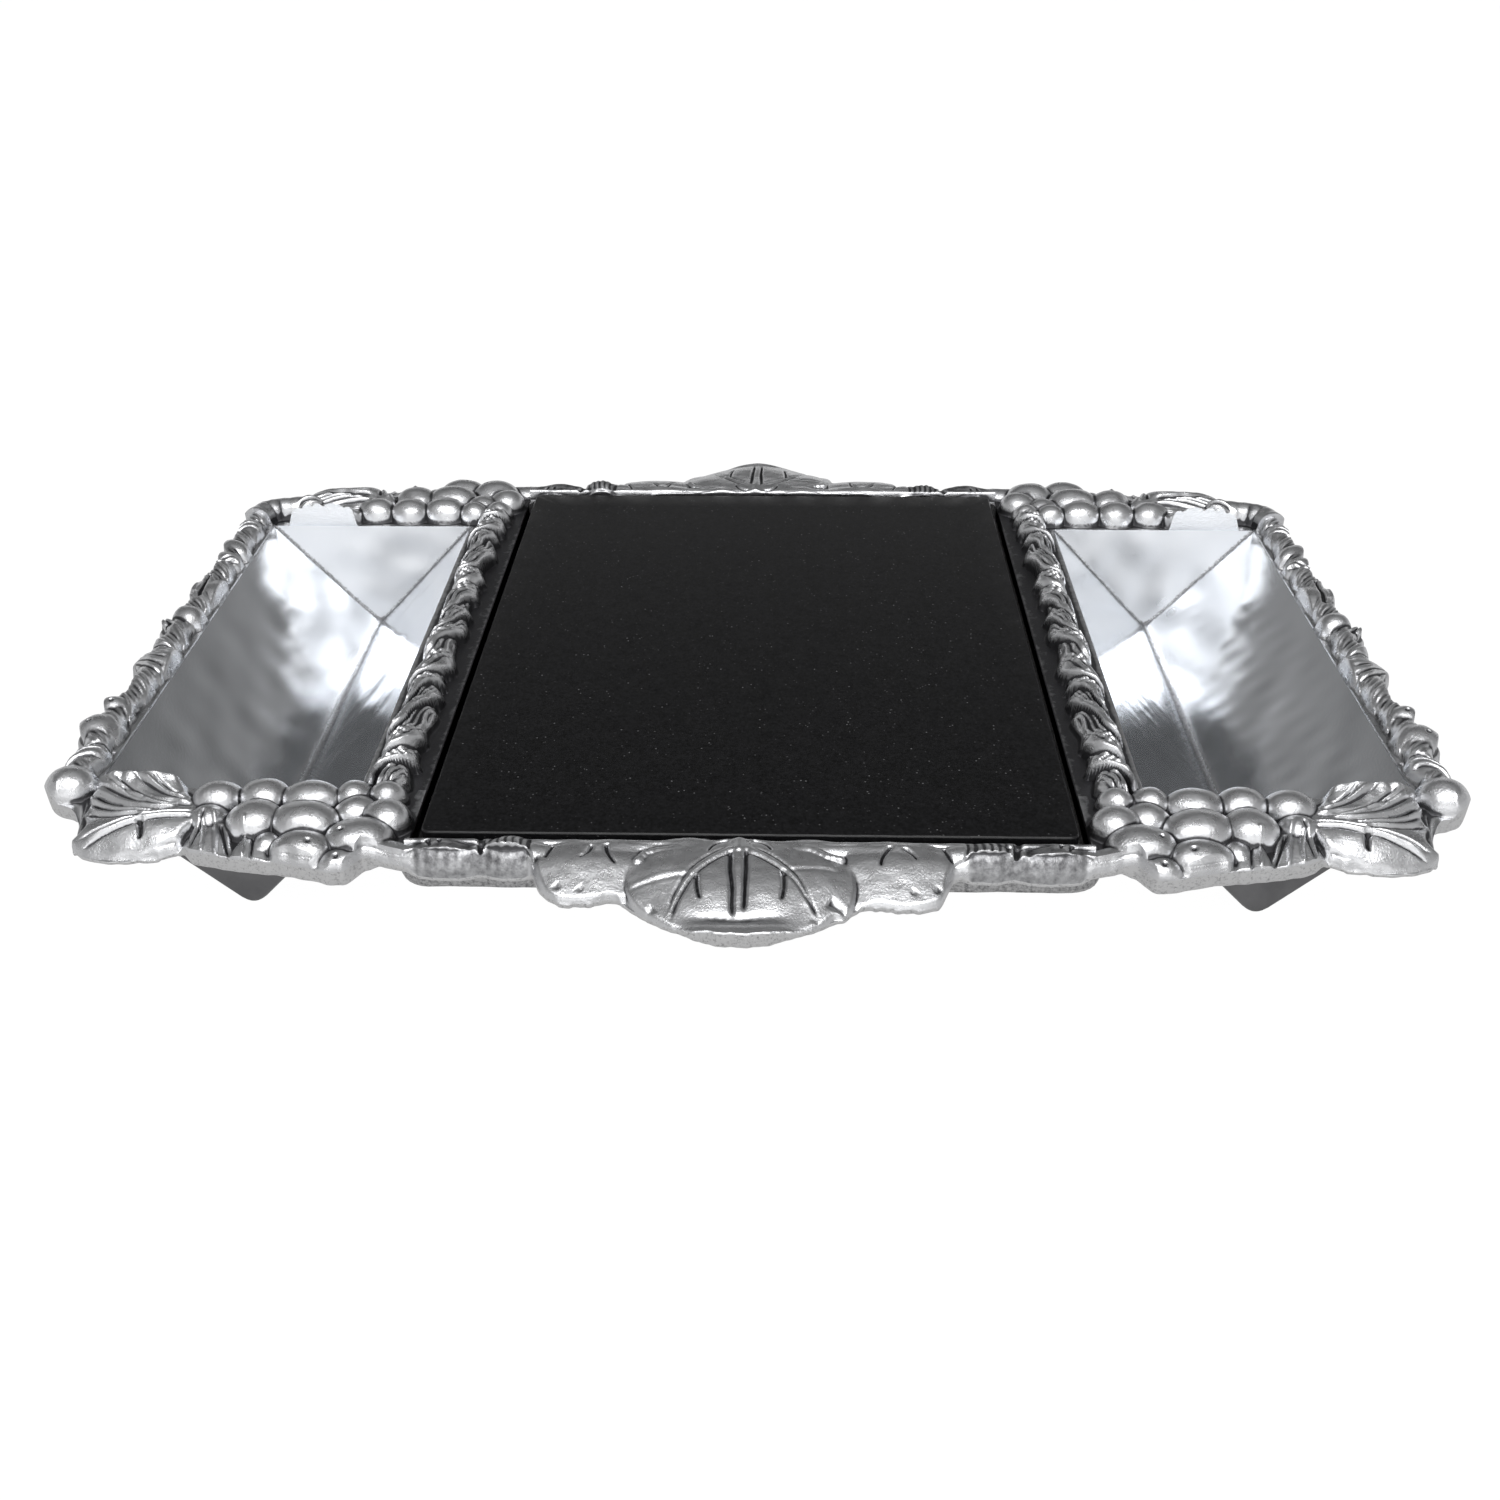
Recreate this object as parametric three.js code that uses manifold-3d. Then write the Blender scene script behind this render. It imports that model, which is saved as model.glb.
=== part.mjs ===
// Cheese and cracker tray: a sand-cast aluminium tray with a grape-vine rim, a V-shaped trough down each
// side for crackers, and a loose stone slab in the middle for cheese.
// Millimetres, +Z up, the front is towards -Y. z = 0 lies on the flats of the two trough keels.
import * as THREE from 'three';
import { ConvexGeometry } from 'three/addons/geometries/ConvexGeometry.js';
import { LoftGeometry } from 'three/addons/geometries/LoftGeometry.js';
import { mergeVertices } from 'three/addons/utils/BufferGeometryUtils.js';
import Module from 'manifold-3d';

const wasm = await Module();
wasm.setup();

// Stone slab, and the gap that lets it drop into the pan and lift out.
const SLAB_WIDTH = 203;
const SLAB_DEPTH = 254;
const SLAB_THICK = 10;
const SLAB_ARRIS = 1.2;
const SLAB_CORNER = 3;
const SLAB_GAP = 3.5;
const SLAB_PROUD = 3;

// Bumper pads under the slab, and the clearance left where one piece rests on another.
const PAD_RADIUS = 6;
const PAD_HEIGHT = 2;
const PAD_INSET = 22;
const SEAT_GAP = 0.2;

// Casting: walls, frame plate and pan floor.
const WALL = 4;
const PLATE_THICK = 6;
const PAN_FLOOR = 4;
const PAN_CORNER = 6;

// Cracker troughs, measured inside at the level of the frame plate's top.
const TROUGH_WIDTH = 86;
const TROUGH_LENGTH = 200;
const TROUGH_DEPTH = 43;
const TROUGH_END_RUN = 9;
const VALLEY_RADIUS = 4;
const VALLEY_SPREAD = 0.87;
const KEEL_CUT = 0.6;
const KEEL_END_RUN = 2;

// Bands of the frame: between pan and trough, outside the trough, and in front of and behind the pan.
const DIVIDER_WIDTH = 22;
const SIDE_BAND = 12;
const END_BAND = 11.5;

// Vines of the rim.
const TWIST_RADIUS = 5;
const TWIST_TURNS = 6;
const END_VINE_RADIUS = 6.2;
const SIDE_VINE_RADIUS = 5.4;
const VINE_SINK = 1.2;

// Grapes: half-axes of the common grape, and how far its middle stands over the frame plate.
const GRAPE_LONG = 8.6;
const GRAPE_SHORT = 7.2;
const GRAPE_HIGH = 7;
const GRAPE_RISE = 2;

// Leaves: handle leaves at the middle of the front and back, side leaves next to them, corner leaves.
const HANDLE_HALF = 34;
const HANDLE_REACH = 37;
const HANDLE_CROWN = 4;
const HANDLE_DROOP = 6;
const SIDE_LEAF_REACH = 23;
const LEAF_CROWN = 4.5;
const LEAF_RIB = 2.4;

// Places that follow from the sizes above. u runs out from the middle sideways, v towards front or back.
const recessU = SLAB_WIDTH / 2 + SLAB_GAP;
const recessV = SLAB_DEPTH / 2 + SLAB_GAP;
const troughIn = recessU + DIVIDER_WIDTH;
const troughMid = troughIn + TROUGH_WIDTH / 2;
const troughOut = troughIn + TROUGH_WIDTH;
const troughV = TROUGH_LENGTH / 2;
const sideOut = troughOut + SIDE_BAND;
const endOut = recessV + END_BAND;
const plateTop = TROUGH_DEPTH + WALL - KEEL_CUT;
const plateBottom = plateTop - PLATE_THICK;
const slabTop = plateTop + SLAB_PROUD;
const slabBottom = slabTop - SLAB_THICK;
const padBottom = slabBottom - SEAT_GAP - PAD_HEIGHT;
const panFloor = padBottom - SEAT_GAP;
const panBottom = panFloor - PAN_FLOOR;
const leafBottom = plateBottom;

const aluminium = new THREE.MeshStandardMaterial({ color: 0xc9cbcc, metalness: 1, roughness: 0.28 });
const stone = new THREE.MeshStandardMaterial({ color: 0x17181a, metalness: 0, roughness: 0.4 });
const rubber = new THREE.MeshStandardMaterial({ color: 0x2a2a2b, metalness: 0, roughness: 0.9 });

const UP = new THREE.Vector3(0, 0, 1);

/** The bare surface of a geometry, each corner point held once. */
function surfaceOf(geometry) {
  const bare = new THREE.BufferGeometry();
  bare.setAttribute('position', geometry.getAttribute('position').clone());
  if (geometry.index) {
    bare.setIndex(geometry.index.clone());
  }
  return mergeVertices(bare, 1e-4);
}

/** A closed geometry as a solid that can be joined and cut. */
function solidOf(geometry) {
  const merged = surfaceOf(geometry);
  const mesh = new wasm.Mesh({
    numProp: 3,
    vertProperties: merged.attributes.position.array,
    triVerts: new Uint32Array(merged.index.array),
  });
  return new wasm.Manifold(mesh);
}

/** A solid as a geometry. */
function geometryOf(solid) {
  const mesh = solid.getMesh();
  const geometry = new THREE.BufferGeometry();
  geometry.setAttribute('position', new THREE.BufferAttribute(mesh.vertProperties, 3));
  geometry.setIndex(new THREE.BufferAttribute(mesh.triVerts, 1));
  return geometry;
}

/** All the solids of a list joined into one. */
function joined(solids) {
  return solids.reduce((whole, next) => whole.add(next));
}

/** A geometry turned over into another quarter of the tray, with its faces kept outwards. */
function inQuarter(geometry, signX, signY) {
  const copy = surfaceOf(geometry);
  copy.scale(signX, signY, 1);
  if (signX * signY < 0) {
    const index = copy.index.array;
    for (let i = 0; i < index.length; i += 3) {
      const second = index[i + 1];
      index[i + 1] = index[i + 2];
      index[i + 2] = second;
    }
  }
  return copy;
}

/** A rectangle round the origin with rounded corners. */
function roundedRectangle(halfX, halfY, radius) {
  const shape = new THREE.Shape();
  shape.moveTo(-halfX + radius, -halfY);
  shape.absarc(halfX - radius, -halfY + radius, radius, -Math.PI / 2, 0);
  shape.absarc(halfX - radius, halfY - radius, radius, 0, Math.PI / 2);
  shape.absarc(-halfX + radius, halfY - radius, radius, Math.PI / 2, Math.PI);
  shape.absarc(-halfX + radius, -halfY + radius, radius, Math.PI, 1.5 * Math.PI);
  shape.closePath();
  return shape;
}

/** A shape as an upright block between two heights. */
function block(shape, bottom, top) {
  const geometry = new THREE.ExtrudeGeometry(shape, {
    depth: top - bottom,
    bevelEnabled: false,
    curveSegments: 6,
  });
  return geometry.translate(0, 0, bottom);
}

/** A closed smooth outline through points of the plan, as evenly spaced points. */
function smoothOutline(corners, count) {
  const knots = corners.map(([u, v]) => new THREE.Vector3(u, v, 0));
  const curve = new THREE.CatmullRomCurve3(knots, true, 'centripetal');
  return curve.getSpacedPoints(count).slice(0, count);
}

/** The frame plate: one outline round pan, troughs and bunches, the same in all four quarters. */
function framePlate() {
  const quarter = [
    [0, endOut - 1.5],
    [troughIn - 20, endOut - 1.5],
    [troughIn - 4, endOut + 1.5],
    [troughIn + 20, endOut],
    [troughMid + 4, endOut - 6],
    [troughMid + 26, troughV + 22],
    [troughOut + 4, troughV + 9],
    [sideOut - 2, troughV - 6],
    [sideOut - 2, 30],
    [sideOut - 2, 0],
  ];
  const half = [...quarter.slice(1), ...quarter.slice(0, -1).reverse().map(([u, v]) => [u, -v])];
  const whole = [...half, ...half.map(([u, v]) => [-u, -v])].reverse();
  const shape = new THREE.Shape(smoothOutline(whole, 120).map((p) => new THREE.Vector2(p.x, p.y)));
  return block(shape, plateBottom, plateTop);
}

/** A V-shaped trough body: straight sides that meet in a round valley, steep ends. */
function troughBody({ halfTop, halfLength, top, radius, middle, keelHalf, floor }) {
  const points = [];
  for (const y of [-halfLength, halfLength]) {
    points.push(new THREE.Vector3(-halfTop, y, top), new THREE.Vector3(halfTop, y, top));
  }
  const first = Math.acos(Math.min((middle - floor) / radius, 1));
  for (const y of [-keelHalf, keelHalf]) {
    for (let step = 0; step <= 4; step += 1) {
      const angle = first + (step / 4) * (VALLEY_SPREAD - first);
      const x = radius * Math.sin(angle);
      const z = middle - radius * Math.cos(angle);
      points.push(new THREE.Vector3(x, y, z), new THREE.Vector3(-x, y, z));
    }
  }
  return new ConvexGeometry(points).translate(troughMid, 0, 0);
}

/** The outside of a trough, with a narrow flat along the keel to stand on. */
function troughOutside() {
  return troughBody({
    halfTop: TROUGH_WIDTH / 2 + WALL * Math.SQRT2,
    halfLength: troughV + WALL,
    top: plateTop - 1,
    radius: VALLEY_RADIUS + WALL,
    middle: VALLEY_RADIUS + WALL - KEEL_CUT,
    keelHalf: troughV + WALL - KEEL_END_RUN,
    floor: 0,
  });
}

/** The hollow of a trough, carried a little above the plate so that it cuts right through. */
function troughInside() {
  const over = 2;
  const sideSlope = (TROUGH_WIDTH / 2 - VALLEY_RADIUS) / TROUGH_DEPTH;
  const endSlope = TROUGH_END_RUN / TROUGH_DEPTH;
  return troughBody({
    halfTop: TROUGH_WIDTH / 2 + over * sideSlope,
    halfLength: troughV + over * endSlope,
    top: plateTop + over,
    radius: VALLEY_RADIUS,
    middle: VALLEY_RADIUS + WALL - KEEL_CUT,
    keelHalf: troughV - TROUGH_END_RUN,
    floor: 0,
  });
}

/** A vine along a path: its section turns as it goes, and swells at its knots. */
function vine(path, { radius, lobe, turns, knots, swell, sides, steps }) {
  const sections = [];
  for (let i = 0; i <= steps; i += 1) {
    const t = i / steps;
    const middle = path.getPointAt(t);
    const across = new THREE.Vector3().crossVectors(UP, path.getTangentAt(t)).normalize();
    const bulge = 1 + swell * Math.cos(2 * Math.PI * knots * t);
    const section = [];
    for (let j = 0; j < sides; j += 1) {
      const angle = (2 * Math.PI * j) / sides;
      const wound = 1 + lobe * Math.cos(2 * (angle - 2 * Math.PI * turns * t));
      const reach = radius * bulge * wound;
      const point = middle.clone().addScaledVector(across, reach * Math.cos(angle));
      section.push(point.addScaledVector(UP, reach * Math.sin(angle)));
    }
    sections.push(section);
  }
  return new LoftGeometry(sections, { capStart: true, capEnd: true });
}

/** A smooth path through points given as [u, v], all at one height. */
function pathThrough(corners, height) {
  return new THREE.CatmullRomCurve3(corners.map(([u, v]) => new THREE.Vector3(u, v, height)));
}

/** A grape lying on the frame plate: an egg of the common size times a scale, turned in plan. */
function grape(u, v, scale, turn, rise = GRAPE_RISE) {
  const egg = new THREE.SphereGeometry(1, 8, 5).rotateX(Math.PI / 2);
  egg.scale(GRAPE_LONG * scale, GRAPE_SHORT * scale, GRAPE_HIGH * scale);
  return egg.rotateZ(turn).translate(u, v, plateTop + rise);
}

/** A cast leaf: lobed outline, domed to the middle, ribbed towards its lobes, falling as told. */
function leaf(corners, [midU, midV], { crown, rib, edge, fall }) {
  const outline = smoothOutline(corners, 26);
  const reach = outline.map((p) => Math.hypot(p.x - midU, p.y - midV));
  const mean = reach.reduce((sum, r) => sum + r, 0) / reach.length;
  const ring = (share, height) =>
    outline.map((p, k) => {
      const u = midU + share * (p.x - midU);
      const v = midV + share * (p.y - midV);
      const lobe = Math.max(-0.5, Math.min(0.5, reach[k] / mean - 1));
      const z = height + crown * (1 - share ** 2) + 8 * rib * lobe * share * (1 - share);
      return new THREE.Vector3(u, v, z - fall(u, v) * share);
    });
  const foot = outline.map((p) => new THREE.Vector3(p.x, p.y, leafBottom));
  const sections = [foot, ring(1, edge), ring(0.7, edge), ring(0.35, edge)];
  return new LoftGeometry(sections, { capStart: true, capEnd: true });
}

/** A bunch: rows of grapes that narrow towards the tip beside the end vine. */
function bunch() {
  const rowV = troughV + 9;
  const grapes = [];
  for (let i = 0; i < 4; i += 1) {
    grapes.push(grape(troughIn - 8 + 16.8 * i, rowV, 0.95, 0.1 * (i - 1)));
  }
  for (let i = 0; i < 4; i += 1) {
    grapes.push(grape(troughIn - 12.5 + 17.4 * i, rowV + 12.5, 1.02 - 0.03 * i, 0.15 * (1 - i)));
  }
  for (let i = 0; i < 3; i += 1) {
    grapes.push(grape(troughIn - 8 + 15.5 * i, rowV + 23 + 3.5 * (i % 2), 1, 0.3 - 0.2 * i));
  }
  grapes.push(grape(troughIn - 5, rowV + 31, 0.86, 0.2, GRAPE_RISE - 1.4));
  return grapes;
}

/** The corner leaf: it springs from the bunch and throws lobes to the side, the corner and the front. */
function cornerLeaf() {
  const u = troughMid + 12;
  const v = troughV + 17;
  const corners = [
    [u + 1, v - 19],
    [u + 14, v - 20],
    [u + 27, v - 25],
    [u + 25, v - 10],
    [u + 20, v],
    [u + 24, v + 15],
    [u + 8, v + 18],
    [u - 6, v + 25],
    [u - 12, v + 19],
    [u - 24, v + 20],
    [u - 16, v + 6],
    [u - 11, v - 8],
  ];
  const middle = [u + 2, v - 1];
  return leaf(corners, middle, { crown: LEAF_CROWN, rib: LEAF_RIB, edge: plateTop, fall: () => 0 });
}

/** One half of the outline is given: the handle leaf is the same on both sides of the middle. */
function handleLeaf() {
  const start = recessV - 2;
  const half = [
    [12, 0.06],
    [0.76 * HANDLE_HALF, 0.24],
    [HANDLE_HALF, 0.52],
    [0.9 * HANDLE_HALF, 0.72],
    [0.72 * HANDLE_HALF, 0.86],
    [0.36 * HANDLE_HALF, 0.99],
  ].map(([u, share]) => [u, start + share * (HANDLE_REACH + 2)]);
  const corners = [...half, ...half.map(([u, v]) => [-u, v]).reverse()];
  const fall = (u, v) => {
    const out = (v - start) / (HANDLE_REACH + 2);
    return HANDLE_DROOP * out ** 2 + 2.5 * (u / HANDLE_HALF) ** 2;
  };
  const middle = [0, start + 0.5 * HANDLE_REACH];
  return leaf(corners, middle, { crown: HANDLE_CROWN, rib: LEAF_RIB, edge: slabTop - 2.5, fall });
}

/** The smaller leaf beside the handle leaf, tucked under it and under the end vine. */
function sideLeaf() {
  const near = HANDLE_HALF - 6;
  const far = HANDLE_HALF + 27;
  const start = recessV - 2;
  const corners = [
    [near, start + 4],
    [near + 14, start + 2],
    [far - 4, start + 5],
    [far, start + 0.6 * SIDE_LEAF_REACH],
    [far - 7, start + 0.82 * SIDE_LEAF_REACH],
    [far - 13, start + SIDE_LEAF_REACH + 1],
    [near + 9, start + 0.95 * SIDE_LEAF_REACH],
    [near, start + 0.8 * SIDE_LEAF_REACH],
  ];
  const middle = [(near + far) / 2, start + 0.5 * SIDE_LEAF_REACH];
  const fall = (u, v) => 5 * ((v - start) / SIDE_LEAF_REACH) ** 2;
  return leaf(corners, middle, { crown: LEAF_CROWN, rib: LEAF_RIB, edge: slabTop - 3, fall });
}

/** Ornament that all four quarters share: bunch, corner leaf, side leaf and the knotted end vine. */
function quarterOrnament() {
  const vineV = recessV + END_VINE_RADIUS + 0.3;
  const endPath = pathThrough(
    [
      [HANDLE_HALF + 18, vineV + 1],
      [HANDLE_HALF + 34, vineV - 0.5],
      [troughIn - 36, vineV + 1],
      [troughIn - 12, vineV - 1],
    ],
    slabTop - END_VINE_RADIUS + 0.8,
  );
  const endVine = vine(endPath, {
    radius: END_VINE_RADIUS,
    lobe: 0.08,
    turns: 1,
    knots: 3,
    swell: 0.14,
    sides: 7,
    steps: 12,
  });
  return joined([...bunch(), cornerLeaf(), sideLeaf(), endVine].map(solidOf));
}

/** Ornament of one half, left or right: the twisted divider vine and the side vine with its grapes. */
function halfOrnament() {
  const twistU = troughIn - 1.5 - TWIST_RADIUS;
  const twistPath = new THREE.LineCurve3(
    new THREE.Vector3(twistU, -troughV - 4, plateTop + TWIST_RADIUS - VINE_SINK - 1.6),
    new THREE.Vector3(twistU, troughV + 4, plateTop + TWIST_RADIUS - VINE_SINK - 1.6),
  );
  const twist = vine(twistPath, {
    radius: TWIST_RADIUS * 0.9,
    lobe: 0.16,
    turns: TWIST_TURNS,
    knots: 0,
    swell: 0,
    sides: 7,
    steps: 6 * TWIST_TURNS,
  });
  const sideU = troughOut + SIDE_BAND / 2 + 0.4;
  const sidePath = pathThrough(
    [
      [sideU + 1.5, -troughV - 2],
      [sideU + 1, -0.6 * troughV],
      [sideU - 0.6, -0.2 * troughV],
      [sideU + 0.6, 0.25 * troughV],
      [sideU - 0.4, 0.7 * troughV],
      [sideU, troughV],
      [sideU - 6, troughV + 10],
      [sideU - 18, troughV + 14],
    ],
    plateTop + 1.4,
  );
  const sideVine = vine(sidePath, {
    radius: SIDE_VINE_RADIUS,
    lobe: 0.1,
    turns: 3,
    knots: 9,
    swell: 0.13,
    sides: 7,
    steps: 36,
  });
  const sideGrapes = [
    grape(sideU + 1.5, -troughV - 4.5, 0.95, 0.3),
    grape(sideU + 4, -0.7 * troughV, 0.92, 1.2),
    grape(sideU + 3, -0.57 * troughV, 0.6, 0),
    grape(sideU + 0.5, -0.28 * troughV, 0.95, 1.4),
    grape(sideU + 0.5, 0.09 * troughV, 0.78, 0.4),
    grape(sideU, 0.55 * troughV, 0.72, 1),
    grape(sideU, 0.67 * troughV, 0.92, 1.2),
  ];
  return joined([twist, sideVine, ...sideGrapes].map(solidOf));
}

/** The tray casting: pan, troughs and frame plate with the vine rim, cast in one piece. */
function trayCasting() {
  const panOutside = block(
    roundedRectangle(recessU + WALL, recessV + WALL, PAN_CORNER + WALL),
    panBottom,
    plateTop - 0.5,
  );
  const recess = block(roundedRectangle(recessU, recessV, PAN_CORNER), panFloor, slabTop + 60);
  const quarter = geometryOf(quarterOrnament());
  const half = geometryOf(halfOrnament());
  const handle = handleLeaf();
  const added = [solidOf(framePlate()), solidOf(panOutside)];
  const cut = [solidOf(recess)];
  for (const signX of [1, -1]) {
    added.push(solidOf(inQuarter(troughOutside(), signX, 1)));
    cut.push(solidOf(inQuarter(troughInside(), signX, 1)));
  }
  const body = joined(added).subtract(joined(cut));
  const ornament = [solidOf(handle), solidOf(inQuarter(handle, 1, -1))];
  for (const signX of [1, -1]) {
    ornament.push(solidOf(inQuarter(half, signX, 1)));
    for (const signY of [1, -1]) {
      ornament.push(solidOf(inQuarter(quarter, signX, signY)));
    }
  }
  return geometryOf(body.add(joined(ornament)).subtract(joined(cut)));
}

/** The stone slab: a plain plate with a fine arris round its edges. */
function stoneSlab() {
  const shape = roundedRectangle(SLAB_WIDTH / 2, SLAB_DEPTH / 2, SLAB_CORNER);
  const geometry = new THREE.ExtrudeGeometry(shape, {
    depth: SLAB_THICK - 2 * SLAB_ARRIS,
    bevelEnabled: true,
    bevelThickness: SLAB_ARRIS,
    bevelSize: SLAB_ARRIS,
    bevelOffset: -SLAB_ARRIS,
    bevelSegments: 1,
    curveSegments: 5,
  });
  return geometry.translate(0, 0, slabBottom + SLAB_ARRIS);
}

/** A bumper pad at one corner under the slab. */
function bumperPad(signX, signY) {
  const pad = new THREE.CylinderGeometry(PAD_RADIUS, PAD_RADIUS - 0.4, PAD_HEIGHT, 24).rotateX(Math.PI / 2);
  const u = signX * (SLAB_WIDTH / 2 - PAD_INSET);
  const v = signY * (SLAB_DEPTH / 2 - PAD_INSET);
  return pad.translate(u, v, padBottom + PAD_HEIGHT / 2);
}

const group = new THREE.Group();

/** Adds one named piece to the tray. */
function addPiece(name, geometry, material) {
  const mesh = new THREE.Mesh(geometry, material);
  mesh.name = name;
  group.add(mesh);
}

addPiece('tray_casting', trayCasting(), aluminium);
addPiece('stone_slab', stoneSlab(), stone);
for (const [sideName, signX] of [['left', -1], ['right', 1]]) {
  for (const [endName, signY] of [['front', -1], ['back', 1]]) {
    addPiece(`bumper_pad_${endName}_${sideName}`, bumperPad(signX, signY), rubber);
  }
}

export default group;
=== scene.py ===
"""Cheese and cracker tray: a cast aluminium tray with a black stone slab that lifts out.

The rim is drawn as height surfaces, as a sand casting is pulled straight up out of its mould:
grapes, leaves, ribs and vines are laid on the rim and joined with small fillets. The two troughs,
the pan under the slab, the slab and its pads are profiles carried round a rectangle. Sizes are
in millimetres, in the frame of the CAD model, and become metres in the meshes.
"""
import logging
import math
from dataclasses import dataclass
from enum import Enum
from typing import Dict, List, Optional, Sequence, Tuple, Union

import bpy
import bmesh
import numpy as np
from mathutils import Matrix
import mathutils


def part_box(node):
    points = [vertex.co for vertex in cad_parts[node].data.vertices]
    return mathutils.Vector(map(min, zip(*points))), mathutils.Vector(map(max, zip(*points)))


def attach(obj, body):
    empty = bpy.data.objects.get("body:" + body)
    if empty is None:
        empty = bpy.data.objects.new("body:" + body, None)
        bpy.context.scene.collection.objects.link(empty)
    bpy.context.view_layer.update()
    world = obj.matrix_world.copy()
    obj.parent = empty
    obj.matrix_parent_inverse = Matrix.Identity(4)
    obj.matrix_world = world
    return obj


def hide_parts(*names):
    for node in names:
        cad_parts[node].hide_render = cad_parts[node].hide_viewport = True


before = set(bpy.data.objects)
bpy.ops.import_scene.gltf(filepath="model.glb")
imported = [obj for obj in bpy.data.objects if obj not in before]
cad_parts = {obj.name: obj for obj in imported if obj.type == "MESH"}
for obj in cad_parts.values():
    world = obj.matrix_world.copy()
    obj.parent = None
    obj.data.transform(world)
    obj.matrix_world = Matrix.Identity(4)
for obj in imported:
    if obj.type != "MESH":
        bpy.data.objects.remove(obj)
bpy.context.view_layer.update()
LOG = logging.getLogger("tray")
MM = 0.001
UNIT = (0.0, 1.0)
# Reach of the rim's corner and divider pieces past the trough's ends, in millimetres.
OVERLAP = 0.05
# Angle in degrees above which an edge of a piece stays crisp.
CRISP = 55.0
Array = np.ndarray
Point = Tuple[float, float]
Points = Tuple[Point, ...]
Vector = Tuple[float, float, float]
Colour = Tuple[float, float, float]
Socket = bpy.types.NodeSocket
Material = bpy.types.Material


class Half(Enum):
    """Half of the tray, as the sign of a coordinate."""

    @property
    def word(self) -> str:
        """The half's word in the names of pieces."""
        return self.name.lower()


class Side(Half):
    """The left or right half of the tray, as the sign of x."""

    LEFT = -1
    RIGHT = 1


class End(Half):
    """The front or back half of the tray, as the sign of y."""

    FRONT = -1
    BACK = 1


@dataclass(frozen=True)
class TrayLayout:
    """Main sizes that the pieces of the tray share."""

    slab_half_width: float = 101.5
    slab_half_depth: float = 127.0
    slab_top: float = 49.4
    slab_bottom: float = 39.4
    recess_half_width: float = 105.0
    recess_half_depth: float = 130.5
    trough_in: float = 127.0
    trough_middle: float = 170.0
    trough_out: float = 213.0
    trough_half_length: float = 100.0
    end_lean: float = 0.2156
    plate_top: float = 46.4
    plate_bottom: float = 40.4
    pan_floor: float = 37.0
    pan_bottom: float = 33.0


LAYOUT = TrayLayout()


def smooth_step(low: float, high: float, value: Array) -> Array:
    """Cubic step: 0 below low, 1 above high, 3t squared minus 2t cubed between them.

    Args:
        low: value at which the step starts.
        high: value at which the step ends; below low for a falling step.
        value: the array to be stepped.

    Returns:
        The stepped array.
    """
    t = np.clip((value - low) / (high - low), 0.0, 1.0)
    return t * t * (3.0 - 2.0 * t)


def smooth_max(a: Array, b: Array, fillet: float) -> Array:
    """Greater of two heights, with a fillet where they meet.

    The share h runs from 0 to 1 over a band of width fillet, and the height is the mix of the
    two by h, plus fillet times h times (1 - h).

    Args:
        a: first height.
        b: second height.
        fillet: size of the rounded inner corner.

    Returns:
        The joined height.
    """
    h = np.clip(0.5 + 0.5 * (a - b) / fillet, 0.0, 1.0)
    return b + (a - b) * h + fillet * h * (1.0 - h)


def smooth_line(marks: Sequence[Point], at: Array) -> Array:
    """Cubic through marked points, with the slope at each mark taken from its neighbours.

    Args:
        marks: pairs of place and value, in rising order of place.
        at: places at which the line is wanted.

    Returns:
        Values of the line, held at its ends.
    """
    x, y = np.array(marks).T
    slope = np.gradient(y, x)
    i = np.clip(np.searchsorted(x, at) - 1, 0, len(x) - 2)
    h = x[i + 1] - x[i]
    t = np.clip((at - x[i]) / h, 0.0, 1.0)
    value = (1.0 + 2.0 * t) * (1.0 - t) ** 2 * y[i] + t * t * (3.0 - 2.0 * t) * y[i + 1]
    return value + h * t * (1.0 - t) ** 2 * slope[i] - h * t * t * (1.0 - t) * slope[i + 1]


def soften(grid: Array, passes: int) -> Array:
    """Blur a grid by repeated weights of a quarter, a half and a quarter along both directions.

    Args:
        grid: grid of values.
        passes: how many times the weights are used.

    Returns:
        The blurred grid.
    """
    out = grid
    for _ in range(passes):
        p = np.pad(out, ((1, 1), (0, 0)), mode="edge")
        out = 0.25 * p[:-2] + 0.5 * p[1:-1] + 0.25 * p[2:]
        p = np.pad(out, ((0, 0), (1, 1)), mode="edge")
        out = 0.25 * p[:, :-2] + 0.5 * p[:, 1:-1] + 0.25 * p[:, 2:]
    return out


def waver(x: Array, y: Array, span: float, seed: float) -> Array:
    """Smooth irregularity of hand work: the mean of five sine waves in turned directions.

    Args:
        x: first coordinate.
        y: second coordinate.
        span: length of the longest wave.
        seed: number that shifts and turns the waves.

    Returns:
        Values between about -1 and 1.
    """
    total = np.zeros(np.broadcast(x, y).shape)
    for i in range(5):
        turn = 2.4 * i + 1.7 * seed
        wave = 2.0 * math.pi * (1.0 + 0.43 * i) / span
        total = total + np.sin(wave * (x * math.cos(turn) + y * math.sin(turn)) + 5.1 * seed * (i + 1))
    return total / 3.2


def round_cap(r: Array) -> Array:
    """Half circle over a radius share r, with a straight drafted fall past 0.975.

    The height is the square root of 1 minus r squared, and beyond 0.975 it goes on down at the
    slope that it has there, so that every wall keeps some draft.

    Args:
        r: distance from the middle as a share of the radius.

    Returns:
        Height as a share of the radius.
    """
    bend, least, low, fall = 0.975, 0.0494, 0.2222, 4.388
    dome = np.sqrt(np.clip(1.0 - r * r, least, 1.0))
    return np.where(r < bend, dome, low - fall * (r - bend))


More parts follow.
